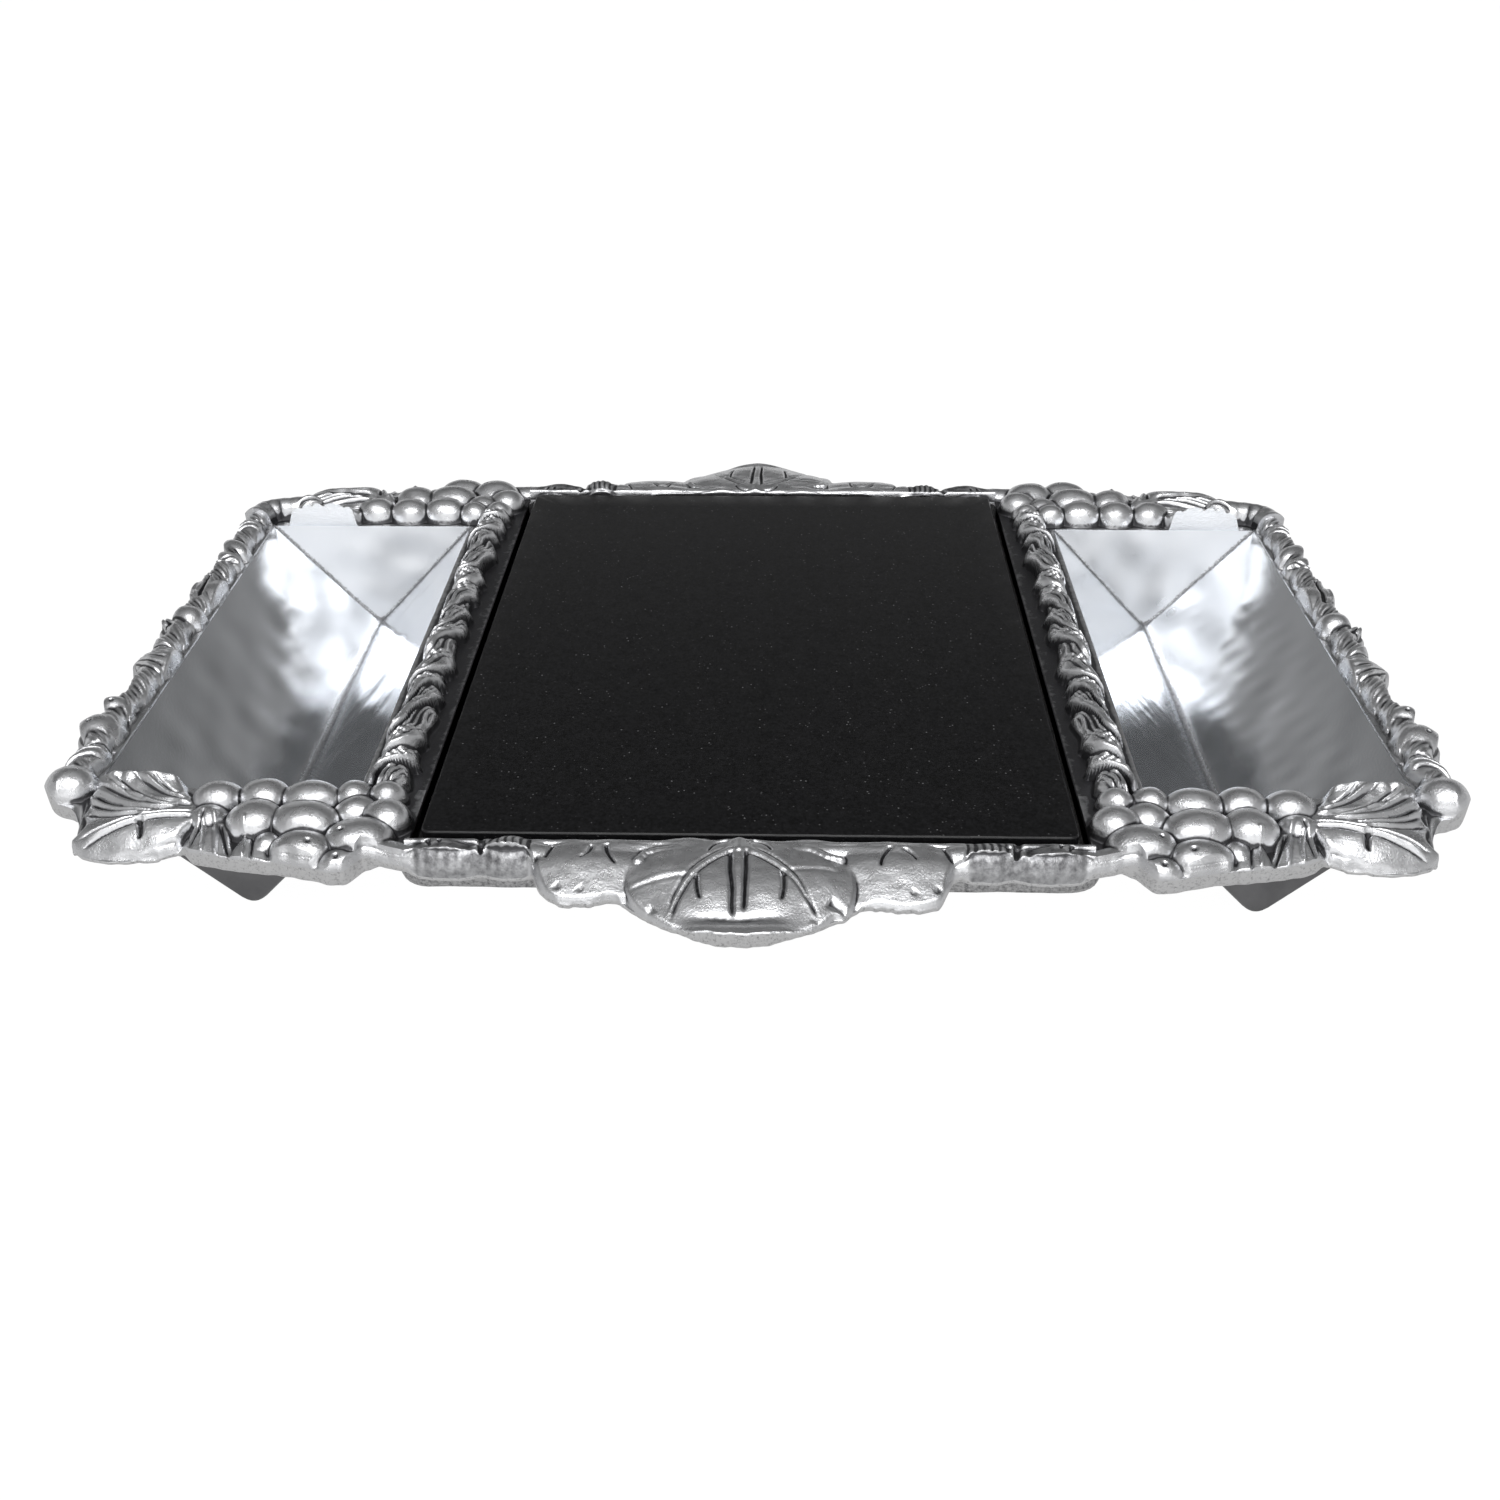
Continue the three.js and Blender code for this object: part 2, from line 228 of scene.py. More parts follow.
def drawn_outline(marks: Sequence[Point], steps: int = 4) -> Array:
    """Smooth closed outline: a cubic through each four neighbouring marks in turn.

    Args:
        marks: points of the plan, in order round the outline.
        steps: points laid on each stretch.

    Returns:
        Array of n by 2 points.
    """
    p = np.array(marks)
    t = np.linspace(0.0, 1.0, steps, endpoint=False)[None, :, None]
    a, b, c, d = (np.roll(p, k, axis=0)[:, None, :] for k in (1, 0, -1, -2))
    bend = (2.0 * a - 5.0 * b + 4.0 * c - d) * t ** 2 + (3.0 * b - 3.0 * c + d - a) * t ** 3
    return (b + 0.5 * ((c - a) * t + bend)).reshape(-1, 2)


def inside_distance(u: Array, v: Array, marks: Sequence[Point]) -> Array:
    """Distance from a drawn outline: positive inside, by an odd count of crossings, else negative.

    Args:
        u: plan coordinate across the tray.
        v: plan coordinate along the tray.
        marks: points of the plan, in order round the outline.

    Returns:
        The signed distance at each point.
    """
    outline = drawn_outline(marks)
    near = np.full(np.broadcast(u, v).shape, 1e9)
    odd = np.zeros(near.shape, dtype=bool)
    for (a, b), (c, d) in zip(outline, np.roll(outline, -1, axis=0)):
        du, dv = c - a, d - b
        t = np.clip(((u - a) * du + (v - b) * dv) / (du * du + dv * dv), 0.0, 1.0)
        near = np.minimum(near, (u - a - t * du) ** 2 + (v - b - t * dv) ** 2)
        if b != d:
            odd ^= ((b > v) != (d > v)) & (u < a + du * (v - b) / dv)
    return np.where(odd, 1.0, -1.0) * np.sqrt(near)


def sheet_edge(inside: Array, round_over: float, fall: float) -> Array:
    """Height lost at the edge of a leaf: a quarter round just inside it, a steep fall outside it.

    Args:
        inside: signed distance from the edge.
        round_over: radius of the quarter round.
        fall: slope of the drafted fall outside.

    Returns:
        Height to be added, zero well inside.
    """
    s = 1.0 - np.clip(inside / round_over, 0.0, 1.0)
    return round_over * (np.sqrt(1.0 - 0.98 * s * s) - 1.0) - fall * np.clip(-inside, 0.0, None)


@dataclass(frozen=True)
class Grape:
    """One grape of the rim: the upper half of an ellipsoid, with a pit at its flower end."""

    u: float
    v: float
    long: float
    short: float
    lift: float
    turn: float = 0.0
    high: float = 6.6
    pit: Optional[Point] = None
    pit_size: float = 0.9
    spread: float = 1.06
    lumps: float = 0.03

    def height(self, u: Array, v: Array) -> Array:
        """Ellipsoid height over the plan, slightly lumpy, less a small round pit.

        Args:
            u: plan coordinate across the tray.
            v: plan coordinate along the tray.

        Returns:
            Height of the grape above the ground.
        """
        c, s = math.cos(self.turn), math.sin(self.turn)
        p = ((u - self.u) * c + (v - self.v) * s) / (self.spread * self.long)
        q = ((v - self.v) * c - (u - self.u) * s) / (self.spread * self.short)
        lump = 1.0 + self.lumps * np.sin(3.0 * p + 2.0 * q + self.u) * np.cos(2.0 * q - self.v)
        z = LAYOUT.slab_top + self.lift - self.high * (1.0 - round_cap(np.hypot(p, q) * lump))
        if self.pit:
            away = np.hypot((p - self.pit[0]) * self.long, (q - self.pit[1]) * self.short)
            z = z - self.pit_size * np.exp(-((away / self.pit_size) ** 4))
        return z


@dataclass(frozen=True)
class Stroke:
    """A raised rib, or a groove where lift is negative, along a bowed line."""

    u0: float
    v0: float
    u1: float
    v1: float
    width: float
    lift: float
    bow: float = 0.0
    taper: float = 0.5
    fade: float = 0.08

    def height(self, u: Array, v: Array) -> Array:
        """Bell across the line, thinner towards its far end, faded at both ends.

        Args:
            u: plan coordinate across the tray.
            v: plan coordinate along the tray.

        Returns:
            Height to be added to the ground.
        """
        du, dv = self.u1 - self.u0, self.v1 - self.v0
        size = math.hypot(du, dv)
        t = ((u - self.u0) * du + (v - self.v0) * dv) / size ** 2
        d = ((v - self.v0) * du - (u - self.u0) * dv) / size
        inside = np.clip(t, 0.0, 1.0)
        d = d - self.bow * 4.0 * inside * (1.0 - inside)
        width = self.width * (1.0 - self.taper * inside)
        fade = smooth_step(-0.06, self.fade, t) * smooth_step(1.06, 0.94 - self.fade, t)
        return self.lift * np.exp(-((d / width) ** 2)) * fade


@dataclass(frozen=True)
class Vine:
    """A round stem along a path, swollen into knots and twisted like a rope."""

    path: Points
    radius: float
    lift: float
    knots: float = 3.0
    swell: float = 0.12
    strands: int = 2
    turns: float = 3.0
    lobe: float = 0.1
    bark: float = 0.15
    shift: float = 0.0
    hand: float = 1.0

    def height(self, u: Array, v: Array) -> Array:
        """Half round over the nearest point of the path.

        The radius swells as a sine along the path, and again as a cosine of the strands round
        the stem, whose angle advances with the turns. Fine bark lines ride on it.

        Args:
            u: plan coordinate across the tray.
            v: plan coordinate along the tray.

        Returns:
            Height of the stem above the ground.
        """
        near = np.full(np.broadcast(u, v).shape, 1e9)
        along = np.zeros_like(near)
        across = np.zeros_like(near)
        start = 0.0
        for (a, b), (c, d) in zip(self.path[:-1], self.path[1:]):
            size = math.hypot(c - a, d - b)
            t = np.clip(((u - a) * (c - a) + (v - b) * (d - b)) / size ** 2, 0.0, 1.0)
            eu, ev = u - (a + t * (c - a)), v - (b + t * (d - b))
            far = np.hypot(eu, ev)
            nearer = far < near
            side = np.sign((c - a) * ev - (d - b) * eu)
            across = np.where(nearer, far * side, across)
            along = np.where(nearer, start + t * size, along)
            near = np.minimum(near, far)
            start += size
        share = along / start
        knot = np.sin(2.0 * math.pi * self.knots * share + self.shift)
        finer = np.sin(47.0 * share + 3.0 * self.shift)
        radius = self.radius * (1.0 + self.swell * knot + 0.33 * self.swell * finer)
        angle = self.hand * np.arcsin(np.clip(across / radius, -1.0, 1.0))
        wind = 2.0 * math.pi * self.turns * share + self.shift
        radius = radius * (1.0 + self.lobe * np.cos(self.strands * (angle + wind)))
        z = LAYOUT.slab_top + self.lift + radius * round_cap(near / radius) - self.radius
        bark = np.cos((self.strands * 4.0) * (angle + wind) + 2.0 * knot)
        return z + self.bark * bark * smooth_step(1.0, 0.7, near / radius)


@dataclass(frozen=True)
class WrappedVine:
    """The divider's vine, wound round with leaves that overlap like the turns of a rope."""

    end: int = 1
    middle: float = 117.0
    half: float = 5.6
    lift: float = 4.4
    high: float = 6.4
    pitch: float = 16.4
    lean: float = 1.2
    step: float = 3.1
    ridge: float = 0.62
    end_drop: float = 4.0

    def height(self, u: Array, v: Array) -> Array:
        """Half round whose turns climb across it: a saw in the phase, steep in front and long behind.

        The phase is the way along the vine plus the lean times the way across it, over the
        pitch. Each turn swells the half width on the slab's side into a blunt tooth, and fine
        ridges run along it.

        Args:
            u: plan coordinate across the tray.
            v: plan coordinate along the tray, out from the middle.

        Returns:
            Height of the vine.
        """
        y = self.end * v
        across = u - self.middle + 0.7 * np.sin(0.21 * y + 0.5)
        lean = self.lean + 0.8 * np.sin(0.105 * y + 1.0)
        phase = (y + lean * across + 2.6 * np.sin(0.145 * y) + 1.6 * np.sin(0.37 * y + 2.0)) / self.pitch
        turn = np.floor(phase)
        t = phase - turn
        odd = np.sin(12.9898 * turn + 4.1)
        saw = smooth_step(0.0, 0.13, t) * (1.0 - 0.66 * smooth_step(0.1, 1.05, t))
        tooth = np.where(across < 0.0, 0.5, 0.26) * (saw - 0.5)
        r = np.abs(across) / (self.half * (1.0 + tooth + 0.06 * odd))
        z = LAYOUT.slab_top + self.lift + self.high * (round_cap(r) - 1.0)
        z = z + (self.step + 1.3 * odd) * (saw - 0.75)
        ridges = np.cos(2.0 * math.pi * (3.0 * t + 0.16 * across))
        ridges = ridges + 0.5 * np.cos(2.0 * math.pi * (5.0 * t - 0.2 * across))
        z = z + self.ridge * ridges * smooth_step(1.0, 0.75, r) * smooth_step(0.1, 0.25, t)
        return z - self.end_drop * smooth_step(101.0, 108.0, np.abs(y))


@dataclass(frozen=True)
class LeafSheet:
    """A small leaf with a drawn outline: a tilted, domed sheet with a rounded edge."""

    outline: Points
    middle: Point
    lift: float
    slope: Point = (0.0, 0.0)
    dome: float = 1.5
    edge: float = 1.1
    fall: float = 3.0

    def height(self, u: Array, v: Array) -> Array:
        """Plane through the middle, less the dome for each 10 mm squared, less the edge's round.

        Args:
            u: plan coordinate across the tray.
            v: plan coordinate along the tray.

        Returns:
            Height of the leaf.
        """
        a, b = u - self.middle[0], v - self.middle[1]
        plane = LAYOUT.slab_top + self.lift + self.slope[0] * a + self.slope[1] * b
        z = plane - self.dome * (a * a + b * b) / 100.0
        return z + sheet_edge(inside_distance(u, v, self.outline), self.edge, self.fall)


@dataclass(frozen=True)
class CornerLeaf:
    """The corner's broad leaf: a smooth lobe outside its midrib, a feathered one standing at the trough."""

    outline: Points = (
        (211.4, 127.4), (208.6, 130.2), (204.0, 132.5), (197.7, 133.5), (192.5, 132.8), (188.1, 133.0),
        (184.0, 131.6), (180.5, 131.8), (177.2, 129.4), (175.0, 124.6), (172.6, 120.0), (174.0, 115.0),
        (176.8, 111.0), (180.0, 106.8), (183.0, 102.8), (185.5, 99.0), (188.0, 97.0), (210.0, 97.0),
        (211.2, 101.5), (209.4, 104.5), (211.2, 108.5), (210.2, 112.5), (211.6, 116.5), (209.2, 119.5),
        (208.4, 122.5), (209.6, 125.0))
    fall: Points = (
        (97.0, 4.4), (100.0, 4.2), (103.0, 3.0), (107.0, 1.4), (112.0, 0.7), (117.0, 0.9), (121.0, 1.2),
        (125.0, 0.5), (128.5, -1.4), (131.5, -4.0), (134.0, -6.8))
    rise: float = 0.0
    stand: float = 0.0
    scallop: float = 0.55
    shift: float = 0.0

    def height(self, u: Array, v: Array) -> Array:
        """Line that falls along v, arched along u, scalloped where it stands at the trough's edge.

        The arch is the square of the way from u = 184, and the stand-up edge sinks towards the
        grapes between u = 188 and 175. The rise is a long bell over the smooth lobe.

        Args:
            u: plan coordinate across the tray.
            v: plan coordinate along the tray.

        Returns:
            Height of the leaf.
        """
        u = u + self.shift
        z = LAYOUT.slab_top + smooth_line(self.fall, v)
        z = z - 0.0056 * (u - 184.0) ** 2 * smooth_step(105.0, 118.0, v)
        edge = smooth_step(112.0, 101.0, v)
        z = z - 5.0 * smooth_step(192.0, 176.0, u) * edge - 3.2 * smooth_step(204.5, 212.0, u) * edge
        full = smooth_step(170.0, 182.0, u) * np.exp(-(((v - 122.0) / 9.0) ** 2))
        z = z + self.rise * full + self.stand * edge
        wave = np.abs(np.cos(math.pi * (u - 187.0) / 6.1 + 0.7 * np.sin(0.31 * u)))
        z = z + self.scallop * (wave - 0.6) * smooth_step(106.0, 100.0, v)
        return z + sheet_edge(inside_distance(u, v, self.outline), 1.5, 3.2)


@dataclass(frozen=True)
class BroadLeaf:
    """Blade of the leaf handle: a broad heart, full between its veins and drooping outwards."""

    outline: Points = (
        (-3.0, 128.5), (-12.0, 130.5), (-22.0, 132.6), (-29.6, 135.0), (-34.4, 139.6), (-36.4, 145.0),
        (-36.0, 150.0), (-32.6, 155.6), (-27.0, 160.6), (-20.0, 164.8), (-13.0, 167.4), (-5.0, 168.6),
        (3.0, 168.4), (11.0, 167.0), (18.0, 164.6), (23.0, 161.6), (25.4, 159.2), (28.6, 158.4),
        (31.4, 154.4), (32.4, 148.0), (31.2, 141.4), (27.6, 137.0), (20.0, 133.4), (10.0, 130.6))
    fall: Points = (
        (126.0, 0.0), (131.0, 0.9), (136.0, 1.5), (142.0, 1.2), (148.0, 0.2), (154.0, -1.3), (159.0, -2.9),
        (163.0, -4.2), (168.0, -5.6))
    middle: float = -2.2
    half: float = 34.5
    arch: float = 2.7
    swellings: Tuple[Tuple[float, ...], ...] = (
        (-11.0, 152.5, 7.0, 8.0, 0.8), (7.0, 152.0, 7.0, 8.0, 0.8), (-26.0, 143.5, 7.0, 5.5, 1.0),
        (22.0, 148.0, 7.0, 7.0, 0.9))
    tip_half: float = 15.0
    tip_lift: float = 0.0

    def tip(self, u: Array) -> Array:
        """Height by which the leaf's tip turns up: a bell across the leaf."""
        return self.tip_lift * np.exp(-(((u - self.middle) / self.tip_half) ** 2))

    def height(self, u: Array, v: Array) -> Array:
        """Line that falls along v, arched along u, with four soft swellings between the veins.

        Args:
            u: plan coordinate across the tray.
            v: plan coordinate along the tray.

        Returns:
            Height of the leaf.
        """
        z = LAYOUT.slab_top + smooth_line(self.fall, v) - self.arch * ((u - self.middle) / self.half) ** 2
        z = z + self.tip(u) * smooth_step(142.0, 165.0, v)
        for a, b, wide, deep, full in self.swellings:
            z = z + full * np.exp(-(((u - a) / wide) ** 2 + ((v - b) / deep) ** 2))
        return z + sheet_edge(inside_distance(u, v, self.outline), 1.5, 3.4)


@dataclass(frozen=True)
class SideLeaf:
    """Smaller leaf beside the handle, rounded and drooping."""

    outline: Points
    middle: float

    def height(self, u: Array, v: Array) -> Array:
        """Line that falls with the square of the way out, arched across, inside a drawn outline.

        Args:
            u: plan coordinate across the tray.
            v: plan coordinate along the tray.

        Returns:
            Height of the leaf.
        """
        out = (v - 131.0) / 21.0
        side = (u - self.middle) / 16.0
        z = LAYOUT.slab_top + 0.7 - 4.6 * out ** 2 - 1.4 * side ** 2
        z = z + 0.8 * np.exp(-((out - 0.45) / 0.25) ** 2)
        return z + sheet_edge(inside_distance(u, v, self.outline), 1.4, 3.0)


class Relief:
    """Cast ornament of one stretch of the rim, as a height over the plan."""

    def __init__(self, fillet: float = 0.9) -> None:
        """Start with no forms.

        Args:
            fillet: size of the fillet between neighbouring forms.
        """
        self.fillet = fillet
        self.forms: List[object] = []
        self.strokes: List[Stroke] = []

    def height(self, u: Array, v: Array, ground: Array) -> Array:
        """Join the forms with fillets, then add ribs and grooves and a trace of hand finish.

        Args:
            u: plan coordinate across the tray.
            v: plan coordinate along the tray.
            ground: height of the bare plate.

        Returns:
            Height of the casting's top.
        """
        z = ground + 0.0 * u
        for form in self.forms:
            z = smooth_max(z, form.height(u, v), self.fillet)
        for stroke in self.strokes:
            z = z + stroke.height(u, v)
        raised = smooth_step(0.3, 1.5, z - ground)
        return z + raised * (0.05 * waver(u, v, 11.0, 0.7) + 0.012 * waver(u, v, 3.1, 1.9))


def put_mesh(name: str, points: Array, faces: List[Sequence[int]], values: Dict[str, Array],
             sharp: float = CRISP) -> bpy.types.Object:
    """Make an object at the origin from points in millimetres.

    Args:
        name: the piece's name.
        points: array of n by 3 points.
        faces: corner numbers of each face.
        values: named per-point numbers for the finish.
        sharp: angle in degrees above which an edge stays crisp.

    Returns:
        The new object, with doubled points merged.
    """
    mesh = bpy.data.meshes.new(name)
    mesh.from_pydata((points * MM).tolist(), [], faces)
    for key, value in values.items():
        layer = mesh.attributes.new(key, "FLOAT", "POINT")
        layer.data.foreach_set("value", np.ravel(value).astype(np.float32))
    work = bmesh.new()
    work.from_mesh(mesh)
    bmesh.ops.remove_doubles(work, verts=work.verts, dist=2e-6)
    bmesh.ops.dissolve_degenerate(work, dist=1e-7, edges=work.edges)
    bmesh.ops.recalc_face_normals(work, faces=work.faces)
    work.to_mesh(mesh)
    work.free()
    mesh.polygons.foreach_set("use_smooth", np.ones(len(mesh.polygons), dtype=bool))
    mesh.set_sharp_from_angle(angle=math.radians(sharp))
    piece = bpy.data.objects.new(name, mesh)
    bpy.context.scene.collection.objects.link(piece)
    return piece


def grid_faces(rows: int, cols: int, wrap: bool) -> Array:
    """Corner numbers of the quads of a grid of points.

    Args:
        rows: number of rows.
        cols: number of columns.
        wrap: whether the last column joins the first.

    Returns:
        Array of n by 4 point numbers.
    """
    last = cols if wrap else cols - 1
    i, j = np.meshgrid(np.arange(rows - 1), np.arange(last), indexing="ij")
    k = (j + 1) % cols
    quads = np.stack([i * cols + j, (i + 1) * cols + j, (i + 1) * cols + k, i * cols + k], -1)
    return quads.reshape(-1, 4)


def ring_piece(name: str, x: Array, y: Array, z: Array, values: Dict[str, Array], sharp: float = CRISP,
               capped: bool = False) -> bpy.types.Object:
    """Skin over closed sections, one for each row of the grids.

    Args:
        name: the piece's name.
        x: grid of x, a row for each section.
        y: grid of y.
        z: grid of heights.
        values: named per-point numbers for the finish.
        sharp: angle in degrees above which an edge stays crisp.
        capped: whether a flat face closes the first and the last section.

    Returns:
        The new object.
    """
    rows, cols = x.shape
    faces = grid_faces(rows, cols, True).tolist()
    if capped:
        faces += [list(range(cols)), list(range((rows - 1) * cols, rows * cols))]
    return put_mesh(name, np.stack([x, y, z], -1).reshape(-1, 3), faces, values, sharp)


# Six steps down the outer face of the rim, for a full face (shares of its height) and for the thin
# edge of a leaf (millimetres), the way in at each step, and the steps up the inner wall.
FULL_DOWN = np.array([0.03, 0.3, 0.6, 0.85, 0.96, 1.0])
LEAF_DOWN = np.array([0.25, 0.7, 1.2, 1.7, 2.2, 99.0])
FULL_IN = np.array([0.0, 0.06, 0.2, 0.5, 0.9, 1.7])
LEAF_IN = np.array([-0.12, -0.12, 0.1, 1.2, 3.6, 7.0])
WALL_RISE = np.array([0.0, 0.2, 0.5, 0.8, 0.94])


@dataclass
class RimEdge:
    """How a stretch of rim ends, row by row: the cut of its outer face and the lean of its inner wall."""

    thin: Array
    bottom: Array
    lean: Array
    bare: Array
    draft: float = 0.9
    gloss: float = 0.0
    # Painted shade on the inner wall, down in the gap beside the slab or the trough.
    wall_shade: float = 0.2
    # Even darkening of the whole stretch: patina and painted shade.
    patina_and_shade: Union[float, Array] = 0.0


def rim_patina_and_shade(x: Array, y: Array, top: Array, edge: RimEdge) -> Array:
    """Patina and painted shade: how far a relief lies below its surroundings, wide and close.

    Both depths are taken from blurs of the relief and scaled, and bare ground adds to them, so the
    dark is patina and painted shade where shade falls. It fades out 3 mm to 0.6 mm from the outline,
    where the edge is rubbed bright.

    Args:
        x: grid of x.
        y: grid of y.
        top: grid of heights.
        edge: the stretch of rim, with its bare ground and its even patina and painted shade.

    Returns:
        Share of the dark: about 0 for bright metal and 1 for full patina and painted shade.
    """
    wide, close = soften(top, 50), soften(top, 8)
    patina_and_shade = np.clip((wide - top) / 1.35 + (close - top) / 0.42 + 0.95 * edge.bare, -0.5, 1.5)
    rest = np.hypot(x - x[:, -1:], y - y[:, -1:])
    return patina_and_shade * smooth_step(0.6, 3.0, rest) - 0.2 * smooth_step(2.0, 0.0, rest) + edge.patina_and_shade


def relief_piece(name: str, x: Array, y: Array, top: Array, edge: RimEdge) -> bpy.types.Object:
    """Closed body under a relief: an inner wall, the top, an outer face, a flat underside.

    Each row of the grid is a closed section. It climbs the inner wall, runs over the top, goes
    down the outer face and back along the underside. A full outer face draws in by the draft
    on its way to the foot. A thin one, of a leaf, turns under after 1.5 mm and runs in to the
    foot 7 mm further in. The inner wall leans out above the plate as the trough's end does.

    Args:
        name: the piece's name.
        x: grid of x, rows along the rim and columns from the inner edge outwards.
        y: grid of y.
        top: grid of heights.
        edge: the cut of the outer face and the lean of the inner wall.

    Returns:
        The new object, with recess, cast and gloss values for its finish.
    """
    rows, cols = x.shape
    thin, lean = edge.thin[:, None], edge.lean[:, None]
    tall = top[:, -1:] - edge.bottom[:, None]
    full_down = tall * FULL_DOWN
    leaf_down = np.minimum(LEAF_DOWN, tall)
    full_in = FULL_IN * edge.draft
    span = np.hypot(x[:, -1:] - x[:, :1], y[:, -1:] - y[:, :1])
    drawn = np.minimum(full_in + (LEAF_IN - full_in) * thin, 0.7 * span)
    in_x, in_y = x[:, -6] - x[:, -1], y[:, -6] - y[:, -1]
    size = np.maximum(np.hypot(in_x, in_y), 1e-6)
    way_x, way_y = (in_x / size)[:, None], (in_y / size)[:, None]
    face_z = top[:, -1:] - (full_down + (leaf_down - full_down) * thin)
    face_x, face_y = x[:, -1:] + way_x * drawn, y[:, -1:] + way_y * drawn
    stand = np.maximum(top[:, :1] - LAYOUT.plate_top, 0.0)
    push = lean * stand * np.exp(-np.hypot(x - x[:, :1], y - y[:, :1]) / 5.0)
    x, y = x + way_x * -push, y + way_y * -push
    start = np.minimum(top[:, :1] - 0.2, LAYOUT.plate_top - 0.4)
    foot = np.full((rows, 1), LAYOUT.plate_bottom)
    wall_z = np.hstack([foot, start + (top[:, :1] - start) * WALL_RISE])
    over = lean * np.maximum(wall_z - LAYOUT.plate_top, 0.0)
    wall_x = (x[:, :1] + way_x * lean * stand) - way_x * over
    wall_y = (y[:, :1] + way_y * lean * stand) - way_y * over
    inner, outer = wall_z.shape[1], face_z.shape[1]
    # The inner wall carries painted shade; the top carries patina and painted shade.
    wall_shade = np.full((rows, inner), edge.wall_shade)
    polished = np.full((rows, inner + 1), edge.gloss) * (lean > 0.0)
    values = {"recess": np.hstack([wall_shade, rim_patina_and_shade(x, y, top, edge), np.zeros((rows, outer))]),
              "cast": np.hstack([np.zeros((rows, inner + cols)), np.ones((rows, outer))]),
              "gloss": np.hstack([polished, np.zeros((rows, cols + outer - 1))])}
    return ring_piece(name, np.hstack([wall_x, x, face_x]), np.hstack([wall_y, y, face_y]),
                      np.hstack([wall_z, top, face_z]), values, capped=True)


def edge_round(inset: Array, edge: Array, reach: float) -> Array:
    """Ceiling that rounds a relief down to its outer edge.

    The ceiling rises from the edge height by reach times the square root of 2s minus s squared,
    where s is the way in from the edge as a share of reach, and is open beyond it.

    Args:
        inset: distance in from the outer edge.
        edge: height at the edge.
        reach: distance over which the ceiling acts.

    Returns:
        Greatest height allowed.
    """
    s = np.clip(inset / reach, 0.0, 1.0)
    rise = reach * 1.3 * np.sqrt(2.0 * s - s * s)
    return np.where(s < 1.0, edge + rise, 1e3) + 12.0 * smooth_step(0.6, 1.0, s)


def ring(half_width: Array, half_length: Array, corner: Array, ends: int, sides: int,
         bend: int) -> Tuple[Array, Array]:
    """Rounded rectangles, one for each entry of the given sizes.

    A quarter circle at each corner is joined to the next by a straight run.

    Args:
        half_width: half size along x.
        half_length: half size along y.
        corner: corner radius.
        ends: points on each run along x.
        sides: points on each run along y.
        bend: points on each corner.

    Returns:
        Arrays of x and y, a row for each rectangle.
    """
    arc = np.linspace(0.0, math.pi / 2.0, bend)
    signs = [(1, 1), (-1, 1), (-1, -1), (1, -1)]
    xs, ys = [], []
    for k, (sx, sy) in enumerate(signs):
        nx, ny = signs[(k + 1) % 4]
        turn = arc + k * math.pi / 2.0
        ax = (sx * (half_width - corner))[:, None] + corner[:, None] * np.cos(turn)
        ay = (sy * (half_length - corner))[:, None] + corner[:, None] * np.sin(turn)
        bx = (nx * (half_width - corner) + corner * math.cos(turn[-1]))[:, None]
        by = (ny * (half_length - corner) + corner * math.sin(turn[-1]))[:, None]
        t = np.linspace(0.0, 1.0, (ends if k % 2 == 0 else sides) + 2)[1:-1]
        xs += [ax, ax[:, -1:] + (bx - ax[:, -1:]) * t]
        ys += [ay, ay[:, -1:] + (by - ay[:, -1:]) * t]
    return np.hstack(xs), np.hstack(ys)


def carried(rows: Array, halves: Point, corner: Array, counts: Tuple[int, int, int]) -> Tuple[Array, ...]:
    """Section carried round a rounded rectangle.

    Args:
        rows: the section, each row with its way out from the rectangle and its height.
        halves: half sizes of the rectangle along x and y.
        corner: corner radius at each row, cut to nine tenths of the half width.
        counts: points on each run along x, on each run along y and on each corner.

    Returns:
        Grids of x, y and z, a row for each row of the section.
    """
    half_width, half_length = halves[0] + rows[:, 0], halves[1] + rows[:, 0]
    corner = np.minimum(corner, np.maximum(half_width * 0.9, 0.0))
    x, y = ring(half_width, half_length, corner, *counts)
    return x, y, rows[:, 1][:, None] + 0.0 * x


